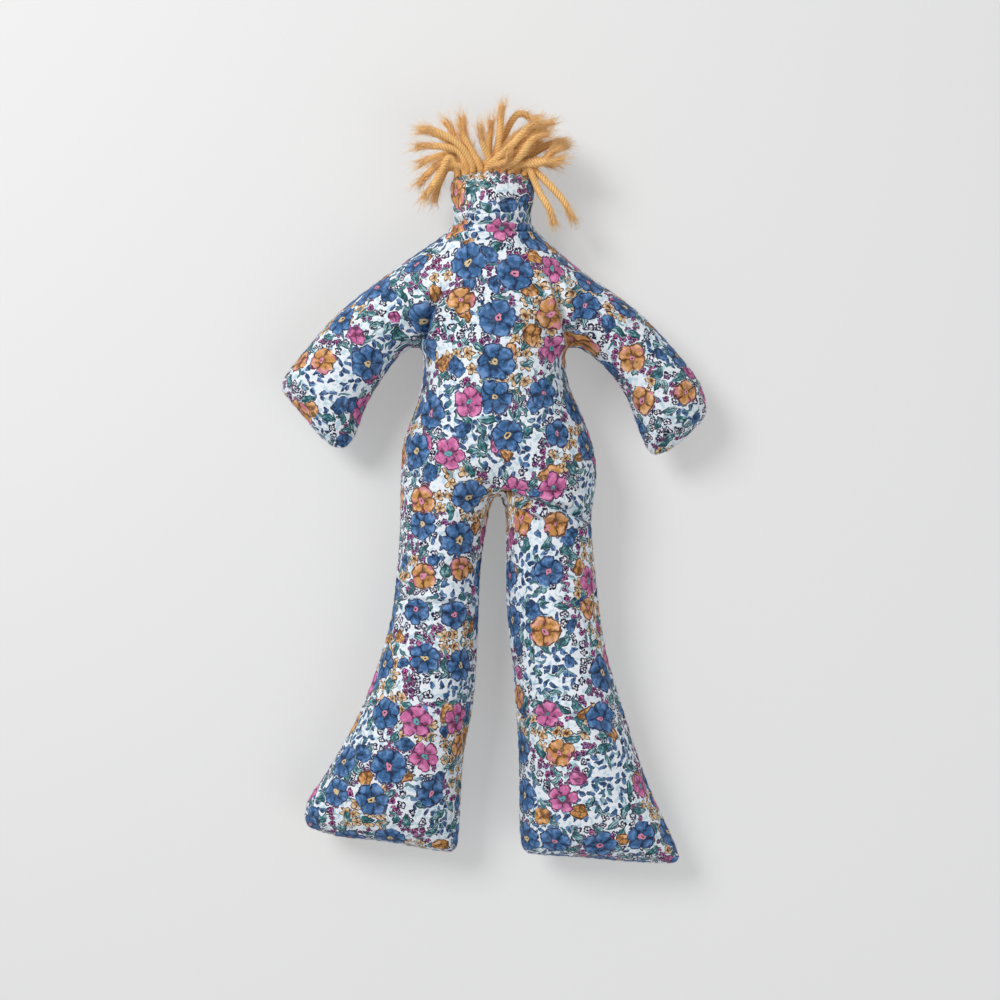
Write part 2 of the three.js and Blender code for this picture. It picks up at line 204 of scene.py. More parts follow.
# Where the camera stands over the doll, in metres, and how far it is turned, in degrees
CAMERA_PLACE = (0.0006, -0.0378)
CAMERA_TURN = -1.13

# The studio: half the floor's width and its drop below the doll, in metres, and how bright what is seen looks
FLOOR_REACH = 20.0
FLOOR_DROP = 0.0005
FLOOR_GLOW = (0.95, 0.95, 0.94, 1)
SKY_COLOUR = (0.95, 0.96, 1.0, 1)
SKY_SEEN = 0.62

# The trunk, and then the limbs in the order of their numbers from 0
PARTS = ("torso", "head", "left_arm", "right_arm", "left_leg", "right_leg")
workshop = {}


def sized(label, text, millimetres):
    return FloatProperty(name=label, description=text, default=millimetres * MM, unit="LENGTH")


def coloured(label, text, *colour):
    return FloatVectorProperty(name=label, description=text, subtype="COLOR", size=4, default=(*colour, 1))


class DollBodySettings(bpy.types.PropertyGroup):
    """How finely and how firmly the body is sewn and stuffed."""
    spacing: sized("Mesh Spacing", "Distance between points of the cloth before it settles", 2.3)
    settle_frames: IntProperty(name="Settling Frames", description="Frames of cloth simulation", default=16)
    settle_limit: sized("Settling Limit", "Furthest that a point may move while it settles", 3.0)
    seam_sink: sized("Seam Sink", "How far the seam is drawn in by its thread", 0.55)
    stitch_length: sized("Stitch Length", "Length of one stitch along the seam", 2.1)
    thread_diameter: sized("Thread Diameter", "Thickness of the sewing thread", 0.45)


class DollClothSettings(bpy.types.PropertyGroup):
    """Colours and sizes of the printed cotton."""
    ground: coloured("Ground", "Unprinted cotton", 0.87, 0.91, 0.95)
    blue: coloured("Blue", "Blue petals", 0.046, 0.140, 0.315)
    pink: coloured("Pink", "Pink petals", 0.60, 0.150, 0.35)
    amber: coloured("Amber", "Amber petals", 0.62, 0.29, 0.080)
    leaf: coloured("Leaf", "Leaves", 0.060, 0.235, 0.26)
    ink: coloured("Ink", "Drawn outlines", 0.018, 0.013, 0.050)
    bloom_size: sized("Bloom Size", "Radius of the largest flowers", 8.0)
    weave_pitch: sized("Weave Pitch", "Distance between the cotton's threads", 0.42)


class DollYarnSettings(bpy.types.PropertyGroup):
    """The wool hair."""
    diameter: sized("Yarn Diameter", "Thickness of one yarn", 3.0)
    plies: IntProperty(name="Plies", description="Strands twisted into one yarn", default=4)
    pitch: sized("Twist Pitch", "Length of one full twist", 5.2)
    fibres: IntProperty(name="Loose Fibres", description="Loose fibres on each lock", default=140)
    colour: coloured("Colour", "Wool colour", 0.90, 0.50, 0.155)


class DollStageSettings(bpy.types.PropertyGroup):
    """Camera, floor and studio light."""
    camera_height: sized("Camera Height", "Height of the camera above the floor", 640)
    view_width: sized("View Width", "Width seen at the doll's middle height", 420)
    key_power: FloatProperty(name="Key Light", description="Power of the soft main light", default=8.4)
    sky: FloatProperty(name="Sky Light", description="Strength of the even light all round", default=0.4)
    floor: coloured("Floor", "Floor colour", 0.80, 0.80, 0.79)


# Small helpers

def unit(vectors):
    """The vectors at a length of one."""
    return vectors / np.maximum(np.linalg.norm(vectors, axis=-1, keepdims=True), 1e-12)


def distances(path):
    """How far along a path each of its points lies."""
    return np.concatenate([[0], np.cumsum(np.linalg.norm(np.diff(path, axis=0), axis=1))])


def read_values(items, key, size, kind=np.float32):
    """One value of each of a mesh's items, in rows of a given size."""
    values = np.zeros(len(items) * size, kind)
    items.foreach_get(key, values)
    return values.reshape(-1, size)


# Flat outline and mesh

def curve_through(points, spacing):
    """Evenly spaced points along a smooth curve through given ones."""
    knots = np.array(points, float)
    guides = [2 * knots[0] - knots[1], *knots, 2 * knots[-1] - knots[-2]]
    fine = []
    for a, b, c, d in zip(guides, guides[1:], guides[2:], guides[3:]):
        for t in np.linspace(0, 1, 12, endpoint=False):
            bend = 2 * a - 5 * b + 4 * c - d
            fine.append(0.5 * (2 * b + (c - a) * t + bend * t**2 + (3 * b - a - 3 * c + d) * t**3))
    fine.append(knots[-1])
    fine = np.array(fine)
    along = distances(fine)
    places = np.linspace(0, along[-1], max(2, round(along[-1] / spacing)) + 1)
    return np.column_stack([np.interp(places, along, fine[:, k]) for k in range(fine.shape[1])])


def outline_points(spacing):
    loop = np.vstack([curve_through(run, spacing)[:-1] for run in OUTLINE_RUNS])
    for _ in range(2):
        loop = (np.roll(loop, 1, 0) + 2 * loop + np.roll(loop, -1, 0)) / 4
    return loop


def inside(points, loop):
    """Which points lie inside a closed loop, by counting its crossings to their right."""
    x, y = points[:, 0, None], points[:, 1, None]
    x0, y0 = loop[:, 0], loop[:, 1]
    x1, y1 = np.roll(x0, -1), np.roll(y0, -1)
    spans = (y0 > y) != (y1 > y)
    rise = np.where(y1 == y0, 1.0, y1 - y0)
    crossing = x0 + (y - y0) * (x1 - x0) / rise
    return (spans & (x < crossing)).sum(1) % 2 == 1


def flat_mesh(spacing):
    """Points and triangles that fill the outline, with the outline's own points first."""
    loop = outline_points(spacing)
    low, high = loop.min(0), loop.max(0)
    rows = np.arange(low[1], high[1], spacing * math.sqrt(0.75))
    columns = [np.arange(low[0] + spacing * 0.5 * (k % 2), high[0], spacing) for k in range(len(rows))]
    grid = np.vstack([np.column_stack([x, np.full(len(x), y)]) for x, y in zip(columns, rows)])
    grid = grid[inside(grid, loop)]
    reach = np.array([np.min(np.linalg.norm(loop - p, axis=1)) for p in grid])
    grid = grid[reach > 0.68 * spacing]
    points = np.vstack([loop, grid])
    count = len(loop)
    edges = [(k, (k + 1) % count) for k in range(count)]
    result = geometry.delaunay_2d_cdt([Vector(p) for p in points], edges, [], 1, 1e-5)
    order = [sources[0] if sources else -1 for sources in result[3]]
    if sorted(order) != list(range(len(points))):
        raise RuntimeError("the outline crosses itself")
    faces = np.array([[order[v] for v in face] for face in result[2]])
    a, b, c = (points[faces[:, k]] for k in range(3))
    turned = (b - a)[:, 0] * (c - a)[:, 1] - (b - a)[:, 1] * (c - a)[:, 0] < 0
    faces[turned] = faces[turned][:, ::-1]
    return points, faces, count


# Stuffing: the skin rises over the flat outline as a filled one does

def swelling(points, faces, rim):
    """The height a filled skin rises to over each point, as a potential, and the potential's slope."""
    total = len(points)
    corners = points[faces]
    area = 0.5 * np.abs(np.cross(corners[:, 1] - corners[:, 0], corners[:, 2] - corners[:, 0]))
    rows, columns, weights = [], [], []
    for k in range(3):
        i, j, apex = faces[:, (k + 1) % 3], faces[:, (k + 2) % 3], points[faces[:, k]]
        u, v = points[i] - apex, points[j] - apex
        cotangent = (u * v).sum(1) / np.maximum(np.abs(np.cross(u, v)), 1e-9)
        rows += [i, j]
        columns += [j, i]
        weights += [0.5 * cotangent, 0.5 * cotangent]
    rows, columns, weights = (np.concatenate(x) for x in (rows, columns, weights))
    diagonal = np.bincount(rows, weights, total)
    load = np.bincount(faces.ravel(), np.repeat(area / 3, 3), total)
    free = np.arange(total) >= rim

    def apply(x):
        return np.where(free, diagonal * x - np.bincount(rows, weights * x[columns], total), x)

    height = np.zeros(total)
    rest = np.where(free, load, 0)
    way = rest.copy()
    strength = rest @ rest
    for _ in range(600):
        pushed = apply(way)
        step = strength / (way @ pushed)
        height += step * way
        rest = rest - step * pushed
        renewed = rest @ rest
        if renewed < 1e-12 * (load @ load):
            break
        way = rest + (renewed / strength) * way
        strength = renewed
    slope = np.zeros((total, 2))
    for k in range(3):
        edge = corners[:, (k + 2) % 3] - corners[:, (k + 1) % 3]
        normal = np.column_stack([-edge[:, 1], edge[:, 0]])
        for v in range(3):
            for axis in range(2):
                slope[:, axis] += np.bincount(faces[:, v], height[faces[:, k]] * normal[:, axis] / 2, total)
    slope /= np.bincount(faces.ravel(), np.repeat(area, 3), total)[:, None]
    return height, slope


def near(value, low, high):
    """0 below low and 1 above high, smoothly."""
    t = np.clip((value - low) / (high - low), 0, 1)
    return t * t * (3 - 2 * t)


def arm_reach(points, side):
    """How far points lie along an arm, past its start at the armpit."""
    sign = -1 if side == "left" else 1
    way = ARM_WAY[side]
    along = (points[:, 0] - sign * ARMPIT[0]) * way[0] + (points[:, 1] - ARMPIT[1]) * way[1]
    gap_line = ARMPIT[0] + ARM_CUT_GAP + ARM_CUT_SLOPE * np.maximum(ARMPIT[1] - points[:, 1], 0)
    return np.where(points[:, 0] * sign > gap_line, along, -1.0)


def middle_height(points):
    """Height of the seam's plane, which falls along the limbs as they lie."""
    drop = HEAD_DROOP * np.maximum(points[:, 1] - NECK_FOLD, 0)
    drop += LEG_DROOP * np.maximum(LEG_FOLD - points[:, 1], 0)
    for side in ("left", "right"):
        drop += ARM_DROOP * np.maximum(arm_reach(points, side), 0)
    return MID_HEIGHT - drop


def stuffed_shape(points, faces, rim):
    """Where each flat point lies on the stuffed skin, its half thickness and its place on the pattern."""
    height, slope = swelling(points, faces, rim)
    steep = np.linalg.norm(slope, axis=1)
    slope *= np.minimum(1, STEEPEST / np.maximum(steep, 1e-6))[:, None]
    steep = np.minimum(steep, STEEPEST)
    half = np.sqrt(2 * height + steep**2)
    share = np.clip(steep / np.maximum(half, 1e-6), 1e-4, 1)
    share[:rim] = 1
    full = TRUNK_FULLNESS + (LEG_FULLNESS - TRUNK_FULLNESS) * near(-points[:, 1], *LEG_EASE)
    for side in ("left", "right"):
        full += (ARM_FULLNESS - TRUNK_FULLNESS) * near(arm_reach(points, side), *ARM_EASE)
    thick = half / (1 + (half / full) ** 3) ** (1 / 3)
    spread = points - slope * (np.sin(np.pi / 2 * share) / share - 1)[:, None]
    girth = np.pi / 2 * np.sqrt((half**2 + thick**2) / 2)
    pattern = points - slope * (girth / np.maximum(half, 1e-6) - 1)[:, None]
    return spread, thick * np.cos(np.pi / 2 * share), pattern


def closed_skin(points, faces, rim):
    """Doubles a flat mesh into front and back panels that share the outline's points."""
    total = len(points)
    back = np.where(np.arange(total) < rim, np.arange(total), np.arange(total) + total - rim)
    return np.vstack([faces, back[faces][:, ::-1]])


def lie_flat(heights):
    """Keeps the skin above the table, easing into the flat."""
    soft = 1.2
    return 0.5 * (heights + np.sqrt(heights**2 + soft**2))


def new_object(name, data):
    piece = bpy.data.objects.new(name, data)
    bpy.context.collection.objects.link(piece)
    return piece


def settle(start, pattern, faces, rim, settings):
    """Lets the sewn panels settle round their stuffing with a cloth simulation, ten times life size."""
    scale = 10 * MM
    mesh = bpy.data.meshes.new("settling")
    mesh.from_pydata((start * scale).tolist(), [], faces.tolist())
    piece = new_object("settling", mesh)
    piece.shape_key_add(name="Stuffed")
    flat = piece.shape_key_add(name="Flat pattern")
    flat.data.foreach_set("co", (pattern * scale).astype(np.float32).ravel())
    pins = piece.vertex_groups.new(name="Seam")
    pins.add(list(range(rim)), 0.35, "REPLACE")
    cloth = piece.modifiers.new("Cloth", "CLOTH")
    for key, value in STUFFED_CLOTH.items():
        setattr(cloth.settings, key, value)
    cloth.settings.effector_weights.gravity = 0
    cloth.settings.rest_shape_key = flat
    cloth.settings.vertex_group_mass = "Seam"
    cloth.collision_settings.use_collision = False
    frames = settings.settle_frames
    cloth.point_cache.frame_start = 1
    cloth.point_cache.frame_end = frames
    scene = bpy.context.scene
    for number in range(1, frames + 1):
        scene.frame_set(number)
    result = piece.evaluated_get(bpy.context.evaluated_depsgraph_get())
    settled = read_values(result.data.vertices, "co", 3) / scale
    scene.frame_set(1)
    bpy.data.objects.remove(piece)
    bpy.data.meshes.remove(mesh)
    move = settled - start
    far = np.linalg.norm(move, axis=1, keepdims=True)
    limit = settings.settle_limit / MM
    return start + move * (limit * np.tanh(far / limit) / np.maximum(far, 1e-9))


def fine_skin(points, faces, coords, rim):
    """Subdivides the skin twice, keeping its seam crisp, and returns its points, faces and coordinates."""
    mesh = bpy.data.meshes.new("fine")
    mesh.from_pydata(points.tolist(), [], faces.tolist())
    layer = mesh.uv_layers.new(name="Pattern")
    layer.data.foreach_set("uv", coords.astype(np.float32).ravel())
    crease = mesh.attributes.new("crease_edge", "FLOAT", "EDGE")
    ends = read_values(mesh.edges, "vertices", 2, np.int32)
    step = np.abs(ends[:, 0] - ends[:, 1])
    seam = (ends < rim).all(1) & ((step == 1) | (step == rim - 1))
    crease.data.foreach_set("value", np.where(seam, 0.8, 0.0).astype(np.float32))
    piece = new_object("fine", mesh)
    smooth = piece.modifiers.new("Subdivision", "SUBSURF")
    smooth.levels = 2
    smooth.render_levels = 2
    result = piece.evaluated_get(bpy.context.evaluated_depsgraph_get()).to_mesh()
    fine = read_values(result.vertices, "co", 3)
    quads = read_values(result.loops, "vertex_index", 1, np.int32).reshape(-1, 4)
    uvs = read_values(result.uv_layers[0].data, "uv", 2)
    bpy.data.objects.remove(piece)
    bpy.data.meshes.remove(mesh)
    return fine.astype(float), quads, uvs.reshape(-1, 4, 2).astype(float)


def point_normals(points, quads):
    corners = points[quads]
    normal = np.cross(corners[:, 2] - corners[:, 0], corners[:, 3] - corners[:, 1])
    total = np.zeros_like(points)
    for axis in range(3):
        total[:, axis] = np.bincount(quads.ravel(), np.repeat(normal[:, axis], 4), len(points))
    return unit(total)


def seam_gathers():
    """Short creases where the hair's seam draws up the top of the head."""
    places = np.linspace(-0.86, 0.86, SEAM_GATHERS) * 16
    ends = [94.0 + 0.7 * math.sin(5 * x) for x in places]
    routes = [[(x, 99.5), (x * 0.97, 97.0), (x * 0.95 + 0.4, end)] for x, end in zip(places, ends)]
    return [(route, 1.0, 0.7, 0.5) for route in routes]


def crease_cloth(points):
    """How deep the creases press in at each point, and how far they draw the print towards themselves."""
    depth = np.zeros(len(points))
    drawn = np.zeros((len(points), 2))
    for route, deep, wide, gathered in CREASES + seam_gathers():
        path = curve_through(route, 0.8)
        reach = 12.0
        close = np.all((points[:, :2] > path.min(0) - reach) & (points[:, :2] < path.max(0) + reach), axis=1)
        spots = points[close][:, :2]
        apart = np.linalg.norm(spots[:, None] - path[None], axis=2)
        nearest = apart.argmin(1)
        gap = apart[np.arange(len(spots)), nearest]
        tangent = unit(np.gradient(path, axis=0))
        across = np.column_stack([-tangent[:, 1], tangent[:, 0]])[nearest]
        signed = ((spots - path[nearest]) * across).sum(1)
        fade = 1 - 0.75 * near(nearest / len(path), 0.55, 1.0)
        fade *= np.where(gap > np.abs(signed) + 0.3, np.exp(-np.maximum(gap - np.abs(signed), 0) / wide), 1)
        valley = np.exp(-((gap / wide) ** 1.3))
        banks = np.exp(-((gap - 2.2 * wide) / wide) ** 2)
        depth[close] += deep * fade * (valley - 0.3 * banks)
        pull = gathered * fade * np.tanh(signed / wide) * np.exp(-((gap / 8) ** 2))
        drawn[close] += across * pull[:, None]
    return depth, drawn


def lumps(points):
    """The uneven stuffing under the cloth, in millimetres."""
    x, y = points[:, 0], points[:, 1]
    broad = np.sin(x / 5.2 + 1.3 * np.sin(y / 9.0)) * np.sin(y / 7.4 + 0.8 * np.sin(x / 6.0))
    small = np.sin(x / 2.6 - y / 6.1) * np.sin(y / 3.3 + x / 8.0)
    return 0.30 * broad + 0.14 * small


def limb_of(centres):
    """The limb that each spot of the skin belongs to, or none for the trunk."""
    place = np.full(len(centres), -1)
    x, y = centres[:, 0], centres[:, 1]
    place[(np.abs(x) < NECK_CUT_HALF_WIDTH) & (y > NECK_FOLD - NECK_CUT_DROP)] = 0
    leg = y < CROTCH[1] + LEG_CUT_SLOPE * np.abs(x)
    place[leg & (x < 0)] = 3
    place[leg & (x >= 0)] = 4
    place[arm_reach(centres, "left") > 0] = 1
    place[arm_reach(centres, "right") > 0] = 2
    return place


def sew_on(piece, part):
    """Lets a piece ride on the trunk; a limb's piece keeps its place baked into its points."""
    if part == "torso":
        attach(piece, part)
    else:
        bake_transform(piece)


def skin_piece(name, chosen, points, quads, uvs, normals, material):
    """One cut of the skin as its own piece, with the whole skin's normals so that no edge shows."""
    faces = quads[chosen]
    used, local = np.unique(faces.ravel(), return_inverse=True)
    mesh = bpy.data.meshes.new(name)
    mesh.from_pydata((points[used] * MM).tolist(), [], local.reshape(-1, 4).tolist())
    layer = mesh.uv_layers.new(name="Pattern")
    layer.data.foreach_set("uv", uvs[chosen].astype(np.float32).ravel())
    mesh.materials.append(material)
    mesh.polygons.foreach_set("use_smooth", [True] * len(mesh.polygons))
    mesh.normals_split_custom_set_from_vertices(normals[used].tolist())
    mesh.update()
    return new_object(name, mesh)


class DOLL_OT_sew_body(bpy.types.Operator):
    """Sews the printed front and back panels, stuffs them and cuts the skin at the limbs."""
    bl_idname = "doll.sew_body"
    bl_label = "Sew Body"

    def execute(self, context):
        settings = context.scene.doll_body
        points, faces, rim = flat_mesh(settings.spacing / MM)
        spread, rise, pattern = stuffed_shape(points, faces, rim)
        shell = closed_skin(points, faces, rim)
        both = np.vstack([spread, spread[rim:]])
        heights = np.concatenate([rise, -rise[rim:]])
        start = np.column_stack([both, heights])
        flat = np.column_stack([np.vstack([pattern, pattern[rim:]]), np.zeros(len(start))])
        settled = settle(start, flat, shell, rim, settings)
        settled[:, 2] += middle_height(both)
        edge = settled[:rim]
        inward = np.roll(edge, 1, 0) - np.roll(edge, -1, 0)
        inward = unit(np.column_stack([-inward[:, 1], inward[:, 0], np.zeros(rim)]))
        pull = settings.seam_sink / MM * (1 + 0.35 * np.sin(np.arange(rim) * 2.4))
        settled[:rim] -= inward * pull[:, None]
        coords = np.vstack([pattern, pattern[rim:]]) / PRINT_SQUARE + 0.5
        corner_coords = coords[shell]
        corner_coords[len(faces):] += BACK_PANEL_SHIFT
        fine, quads, uvs = fine_skin(settled, shell, corner_coords, rim)
        normals = point_normals(fine, quads)
        depth, drawn = crease_cloth(fine)
        fronts = near(normals[:, 2], 0.0, 0.4)
        uvs += (drawn * fronts[:, None])[quads] / PRINT_SQUARE
        fine -= normals * (depth * fronts + lumps(fine) * near(np.abs(normals[:, 2]), 0.1, 0.5))[:, None]
        fine[:, 2] = lie_flat(fine[:, 2])
        normals = point_normals(fine, quads)
        workshop["seam"] = settled[:rim]
        material = floral_cloth(context.scene.doll_cloth)
        place = limb_of(fine[quads].mean(1))
        for number, part in enumerate(PARTS, -1):
            piece = skin_piece(f"{part}_cloth", place == number, fine, quads, uvs, normals, material)
            solids = [f"{part}_{layer}" for layer in ("front_cloth", "back_cloth", "stuffing")]
            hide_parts(*solids, *([f"{part}_fold"] if number >= 0 else []))
            sew_on(piece, part)
        return {"FINISHED"}


def new_store():
    return {"points": [], "loops": [], "starts": [], "coords": [], "count": 0, "corners": 0}


def add_faces(store, faces, coords):
    """Adds faces that all have as many corners, with a coordinate for each corner."""
    total, size = faces.shape
    store["loops"].append(faces.ravel())
    store["starts"].append(store["corners"] + np.arange(total) * size)
    store["coords"].append(coords.reshape(-1, 2))
    store["corners"] += total * size


def add_tubes(store, paths, radii, outs, sides, shade_tones=None):
    """Adds closed round tubes that all have as many rings. Each ring starts towards its entry in outs. Shade
    tones give each of its corners a first coordinate, from which the yarn's material paints shade in the
    grooves and light on the ridges; without them it is the share of the way round."""
    count, rings = paths.shape[:2]
    tangents = unit(np.gradient(paths, axis=1))
    outs = unit(outs - tangents * (outs * tangents).sum(2, keepdims=True))
    others = np.cross(tangents, outs)
    turns = np.arange(sides) * 2 * np.pi / sides
    ring = np.cos(turns)[:, None] * outs[:, :, None] + np.sin(turns)[:, None] * others[:, :, None]
    points = paths[:, :, None] + radii[:, :, None, None] * ring
    index = store["count"] + np.arange(count * rings * sides).reshape(count, rings, sides)
    after = np.roll(index, -1, axis=2)
    quads = np.stack([index[:, :-1], after[:, :-1], after[:, 1:], index[:, 1:]], axis=-1)
    lengths = np.linalg.norm(np.diff(paths, axis=1), axis=2)
    along = np.concatenate([np.zeros((count, 1)), np.cumsum(lengths, axis=1)], axis=1)[:, :, None]
    along = np.broadcast_to(along, (count, rings, sides))
    if shade_tones is None:
        first = np.broadcast_to(np.arange(sides) / sides, (count, rings, sides))
        second = first + 1 / sides
    else:
        first = np.broadcast_to(shade_tones, (count, rings, sides))
        second = np.roll(first, -1, axis=2)
    coords = np.stack([
        np.stack([first[:, :-1], along[:, :-1]], -1), np.stack([second[:, :-1], along[:, :-1]], -1),
        np.stack([second[:, 1:], along[:, 1:]], -1), np.stack([first[:, 1:], along[:, 1:]], -1),
    ], axis=-2)
    add_faces(store, quads.reshape(-1, 4), coords)
    for end, order in ((0, -1), (-1, 1)):
        caps = np.stack([first[:, end], along[:, end]], -1)
        add_faces(store, index[:, end, ::order], caps[:, ::order])
    store["points"].append(points.reshape(-1, 3))
    store["count"] += count * rings * sides


def store_piece(name, store, material):
    keys = ("points", "loops", "starts", "coords")
    points, loops, starts, coords = (np.concatenate(store[key]) for key in keys)
    mesh = bpy.data.meshes.new(name)
    mesh.vertices.add(len(points))
    mesh.loops.add(len(loops))
    mesh.polygons.add(len(starts))
    mesh.vertices.foreach_set("co", (points * MM).astype(np.float32).ravel())
    mesh.loops.foreach_set("vertex_index", loops.astype(np.int32))
    mesh.polygons.foreach_set("loop_start", starts.astype(np.int32))
    mesh.polygons.foreach_set("use_smooth", [True] * len(starts))
    mesh.update(calc_edges=True)
    layer = mesh.uv_layers.new(name="Along")
    layer.data.foreach_set("uv", coords.astype(np.float32).ravel())
    mesh.materials.append(material)
    mesh.validate()
    return new_object(name, mesh)


class DOLL_OT_stitch_seams(bpy.types.Operator):
    """Lays the sewing thread's stitches in the seam round each part."""
    bl_idname = "doll.stitch_seams"
    bl_label = "Stitch Seams"

    def execute(self, context):
        settings = context.scene.doll_body
        seam = workshop["seam"]
        route = np.vstack([seam, seam[:1]])
        along = distances(route)
        length = settings.stitch_length / MM
        radius = settings.thread_diameter / MM / 2
        count = int(along[-1] / (length * 1.25))
        material = thread_material()
        places = (np.arange(count)[:, None] + np.linspace(-0.5, 0.5, 5) * 0.8) * along[-1] / count % along[-1]
        paths = np.stack([np.interp(places, along, route[:, axis]) for axis in range(3)], axis=-1)
        radii = np.broadcast_to(radius * np.sqrt(1.05 - np.linspace(-1, 1, 5) ** 2), (count, 5))
        limbs = limb_of(paths[:, 2])
        for number, part in enumerate(PARTS, -1):
            chosen = limbs == number
            store = new_store()
            add_tubes(store, paths[chosen], radii[chosen], np.array([0.0, 0.0, 1.0]), 6)
            piece = store_piece(f"{part}_stitches", store, material)
            seams = (part,) if number >= 0 else ("left_side", "right_side")
            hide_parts(*(f"{seam}_seam_thread" for seam in seams))
            sew_on(piece, part)
        return {"FINISHED"}


def lock_route(lock, draw):
    """The middle line of one yarn, from inside the head seam to its tip."""
    row, root_x, bend_x, bend_y, tip_x, tip_y, tip_z = lock
    depth = MID_HEIGHT - HEAD_DROOP * (HEAD_TOP - NECK_FOLD)
    root = np.array([root_x + draw.normal() * 0.5, -ROOT_DEPTH, row * HAIR_ROW_STEP * 0.3])
    rise = np.array([root_x + 0.22 * (bend_x - root_x), max(1.8, 0.3 * bend_y), row * HAIR_ROW_STEP * 0.8])
    bend = np.array([bend_x, bend_y, row * HAIR_ROW_STEP * 0.7 + tip_z * 0.45])
    tip = np.array([tip_x, tip_y, tip_z], float)
    late = bend + (tip - bend) * 0.55 + [0, 0.8, 0.6]
    sway = draw.normal(size=(3, 3)) * [[0.4, 0.2, 0.3], [0.5, 0.5, 0.8], [0.7, 0.7, 0.8]]
    route = curve_through([root, rise + sway[0], bend + sway[1], late + sway[2], tip], YARN_STEP)
    return route[:-6] + np.array([0, HEAD_TOP, depth])


def short_lock(draw):
    """A shorter lock among the long ones: at the left end they part, and the rest lean right."""
    root_x = draw.uniform(-14, 12)
    if root_x < -8:
        lean = math.radians(-28 + draw.normal() * 20)
        length = draw.uniform(11, 19)
    else:
        lean = math.radians(50 + root_x * 0.8 + draw.normal() * 12)
        length = draw.uniform(14, 26)
    row = int(draw.integers(-1, 2))
    way = np.array([math.sin(lean), math.cos(lean)])
    bend = way * length * 0.45 + draw.normal(size=2) * 1.2
    tip = way * length + draw.normal(size=2) * 1.5
    return (row, root_x, root_x + bend[0], max(bend[1], 3.0), root_x + tip[0], max(tip[1], 2.0),
            row * 7 + draw.uniform(-1, 4))


def add_yarn(store, route, diameter, plies, pitch, start_turn):
    """Twists plies round a route and a core; they thin out and draw in at the tip, some more than others."""
    along = distances(route)
    tangent = unit(np.gradient(route, axis=0))
    side = unit(np.cross(tangent, (0.0, 0.1, 1.0)))
    other = np.cross(tangent, side)
    fray = near(along, along[-1] - FRAYED_LENGTH, along[-1] + 0.5)
    turns = start_turn + 2 * np.pi * (np.arange(plies)[:, None] / plies + (along - 2.5 * fray * fray) / pitch)
    outs = np.cos(turns)[..., None] * side + np.sin(turns)[..., None] * other
    drawn_in = 0.13 + 0.05 * math.sin(3 * start_turn)
    reach = diameter * (PLY_REACH - drawn_in * fray)
    radii = np.broadcast_to(diameter * PLY_RADIUS * (1 - 0.52 * fray), turns.shape)
    sides = 10
    around = np.arange(sides) * 2 * np.pi / sides
    # Tones for painted shade in the grooves between plies and painted light on their ridges: how far out each
    # ring corner lies; the frayed tip gets less painted shade
    shade_tones = np.hypot(PLY_REACH + PLY_RADIUS * np.cos(around), PLY_RADIUS * np.sin(around))
    shade_tones /= PLY_REACH + PLY_RADIUS
    shade_tones = np.minimum(shade_tones + 0.15 * fray[:, None], 1.0)
    add_tubes(store, route + reach[:, None] * outs, radii, outs, sides, shade_tones)
    core = diameter * CORE_RADIUS * (1 - 0.6 * fray)
    # The core lies inside the plies and is given a tone of painted part shade
    add_tubes(store, route[None], core[None], side[None], 6, np.full(6, 0.85))


def add_fibres(store, route, diameter, count, draw):
    """Loose fibres that stand off a yarn, and a wisp of them drawn out past its tip."""
    steps = np.linspace(0, 1, 5)[None, :, None]
    tangent = unit(np.gradient(route, axis=0))
    for number, low, high, lift, longest, power in (
        (count, 5, len(route) - 3, 0.8, 3.4, 1.0), (count, len(route) - 28, len(route) - 2, 0.25, 6.0, 0.6),
    ):
        places = (low + (high - low) * draw.uniform(size=number) ** power).astype(int)
        ways = tangent[places]
        outs = draw.normal(size=(number, 3))
        outs = unit(outs - ways * (outs * ways).sum(1, keepdims=True))
        lengths = draw.uniform(0.3, 1.0, size=(number, 1)) * longest
        leans = draw.uniform(0.3, 1.0, size=(number, 1)) * lift
        curls = draw.normal(size=(number, 3)) * 0.26
        paths = (
            (route[places] + outs * diameter * 0.4)[:, None] + (ways * lengths)[:, None] * steps
            + (outs * lengths * leans)[:, None] * steps + (curls * lengths)[:, None] * steps**2)
        radii = np.broadcast_to(np.linspace(*FIBRE_RADII, 5), (number, 5))
        sides = np.repeat(np.cross(ways, outs)[:, None], 5, axis=1)
        add_tubes(store, paths, radii, sides, 3, np.full(3, 1.2))


class DOLL_OT_add_hair(bpy.types.Operator):
    """Makes the hair of short plied yarns sewn into the seam across the top of the head."""
    bl_idname = "doll.add_hair"
    bl_label = "Add Hair"

    def execute(self, context):
        settings = context.scene.doll_yarn
        material = yarn_material(settings)
        draw = np.random.default_rng(7)
        for number, lock in enumerate(HAIR_LOCKS, 1):
            piece = self.sew_in(f"hair_yarn_{number:02d}", [lock], settings, draw, material)
            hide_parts(f"hair_lock_{number:02d}")
        short_locks = (short_lock(draw) for _ in range(SHORT_LOCKS))
        self.sew_in("hair_yarn_short", short_locks, settings, draw, material)
        return {"FINISHED"}

    def sew_in(self, name, locks, settings, draw, material):
        store = new_store()
        diameter = settings.diameter / MM
        for lock in locks:
            route = lock_route(lock, draw)
            start_turn = draw.uniform(0, 2 * math.pi)
            add_yarn(store, route, diameter, settings.plies, settings.pitch / MM, start_turn)
            add_fibres(store, route, diameter, settings.fibres, draw)
        piece = store_piece(name, store, material)
        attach(piece, "head")
        return piece


# Shader nodes

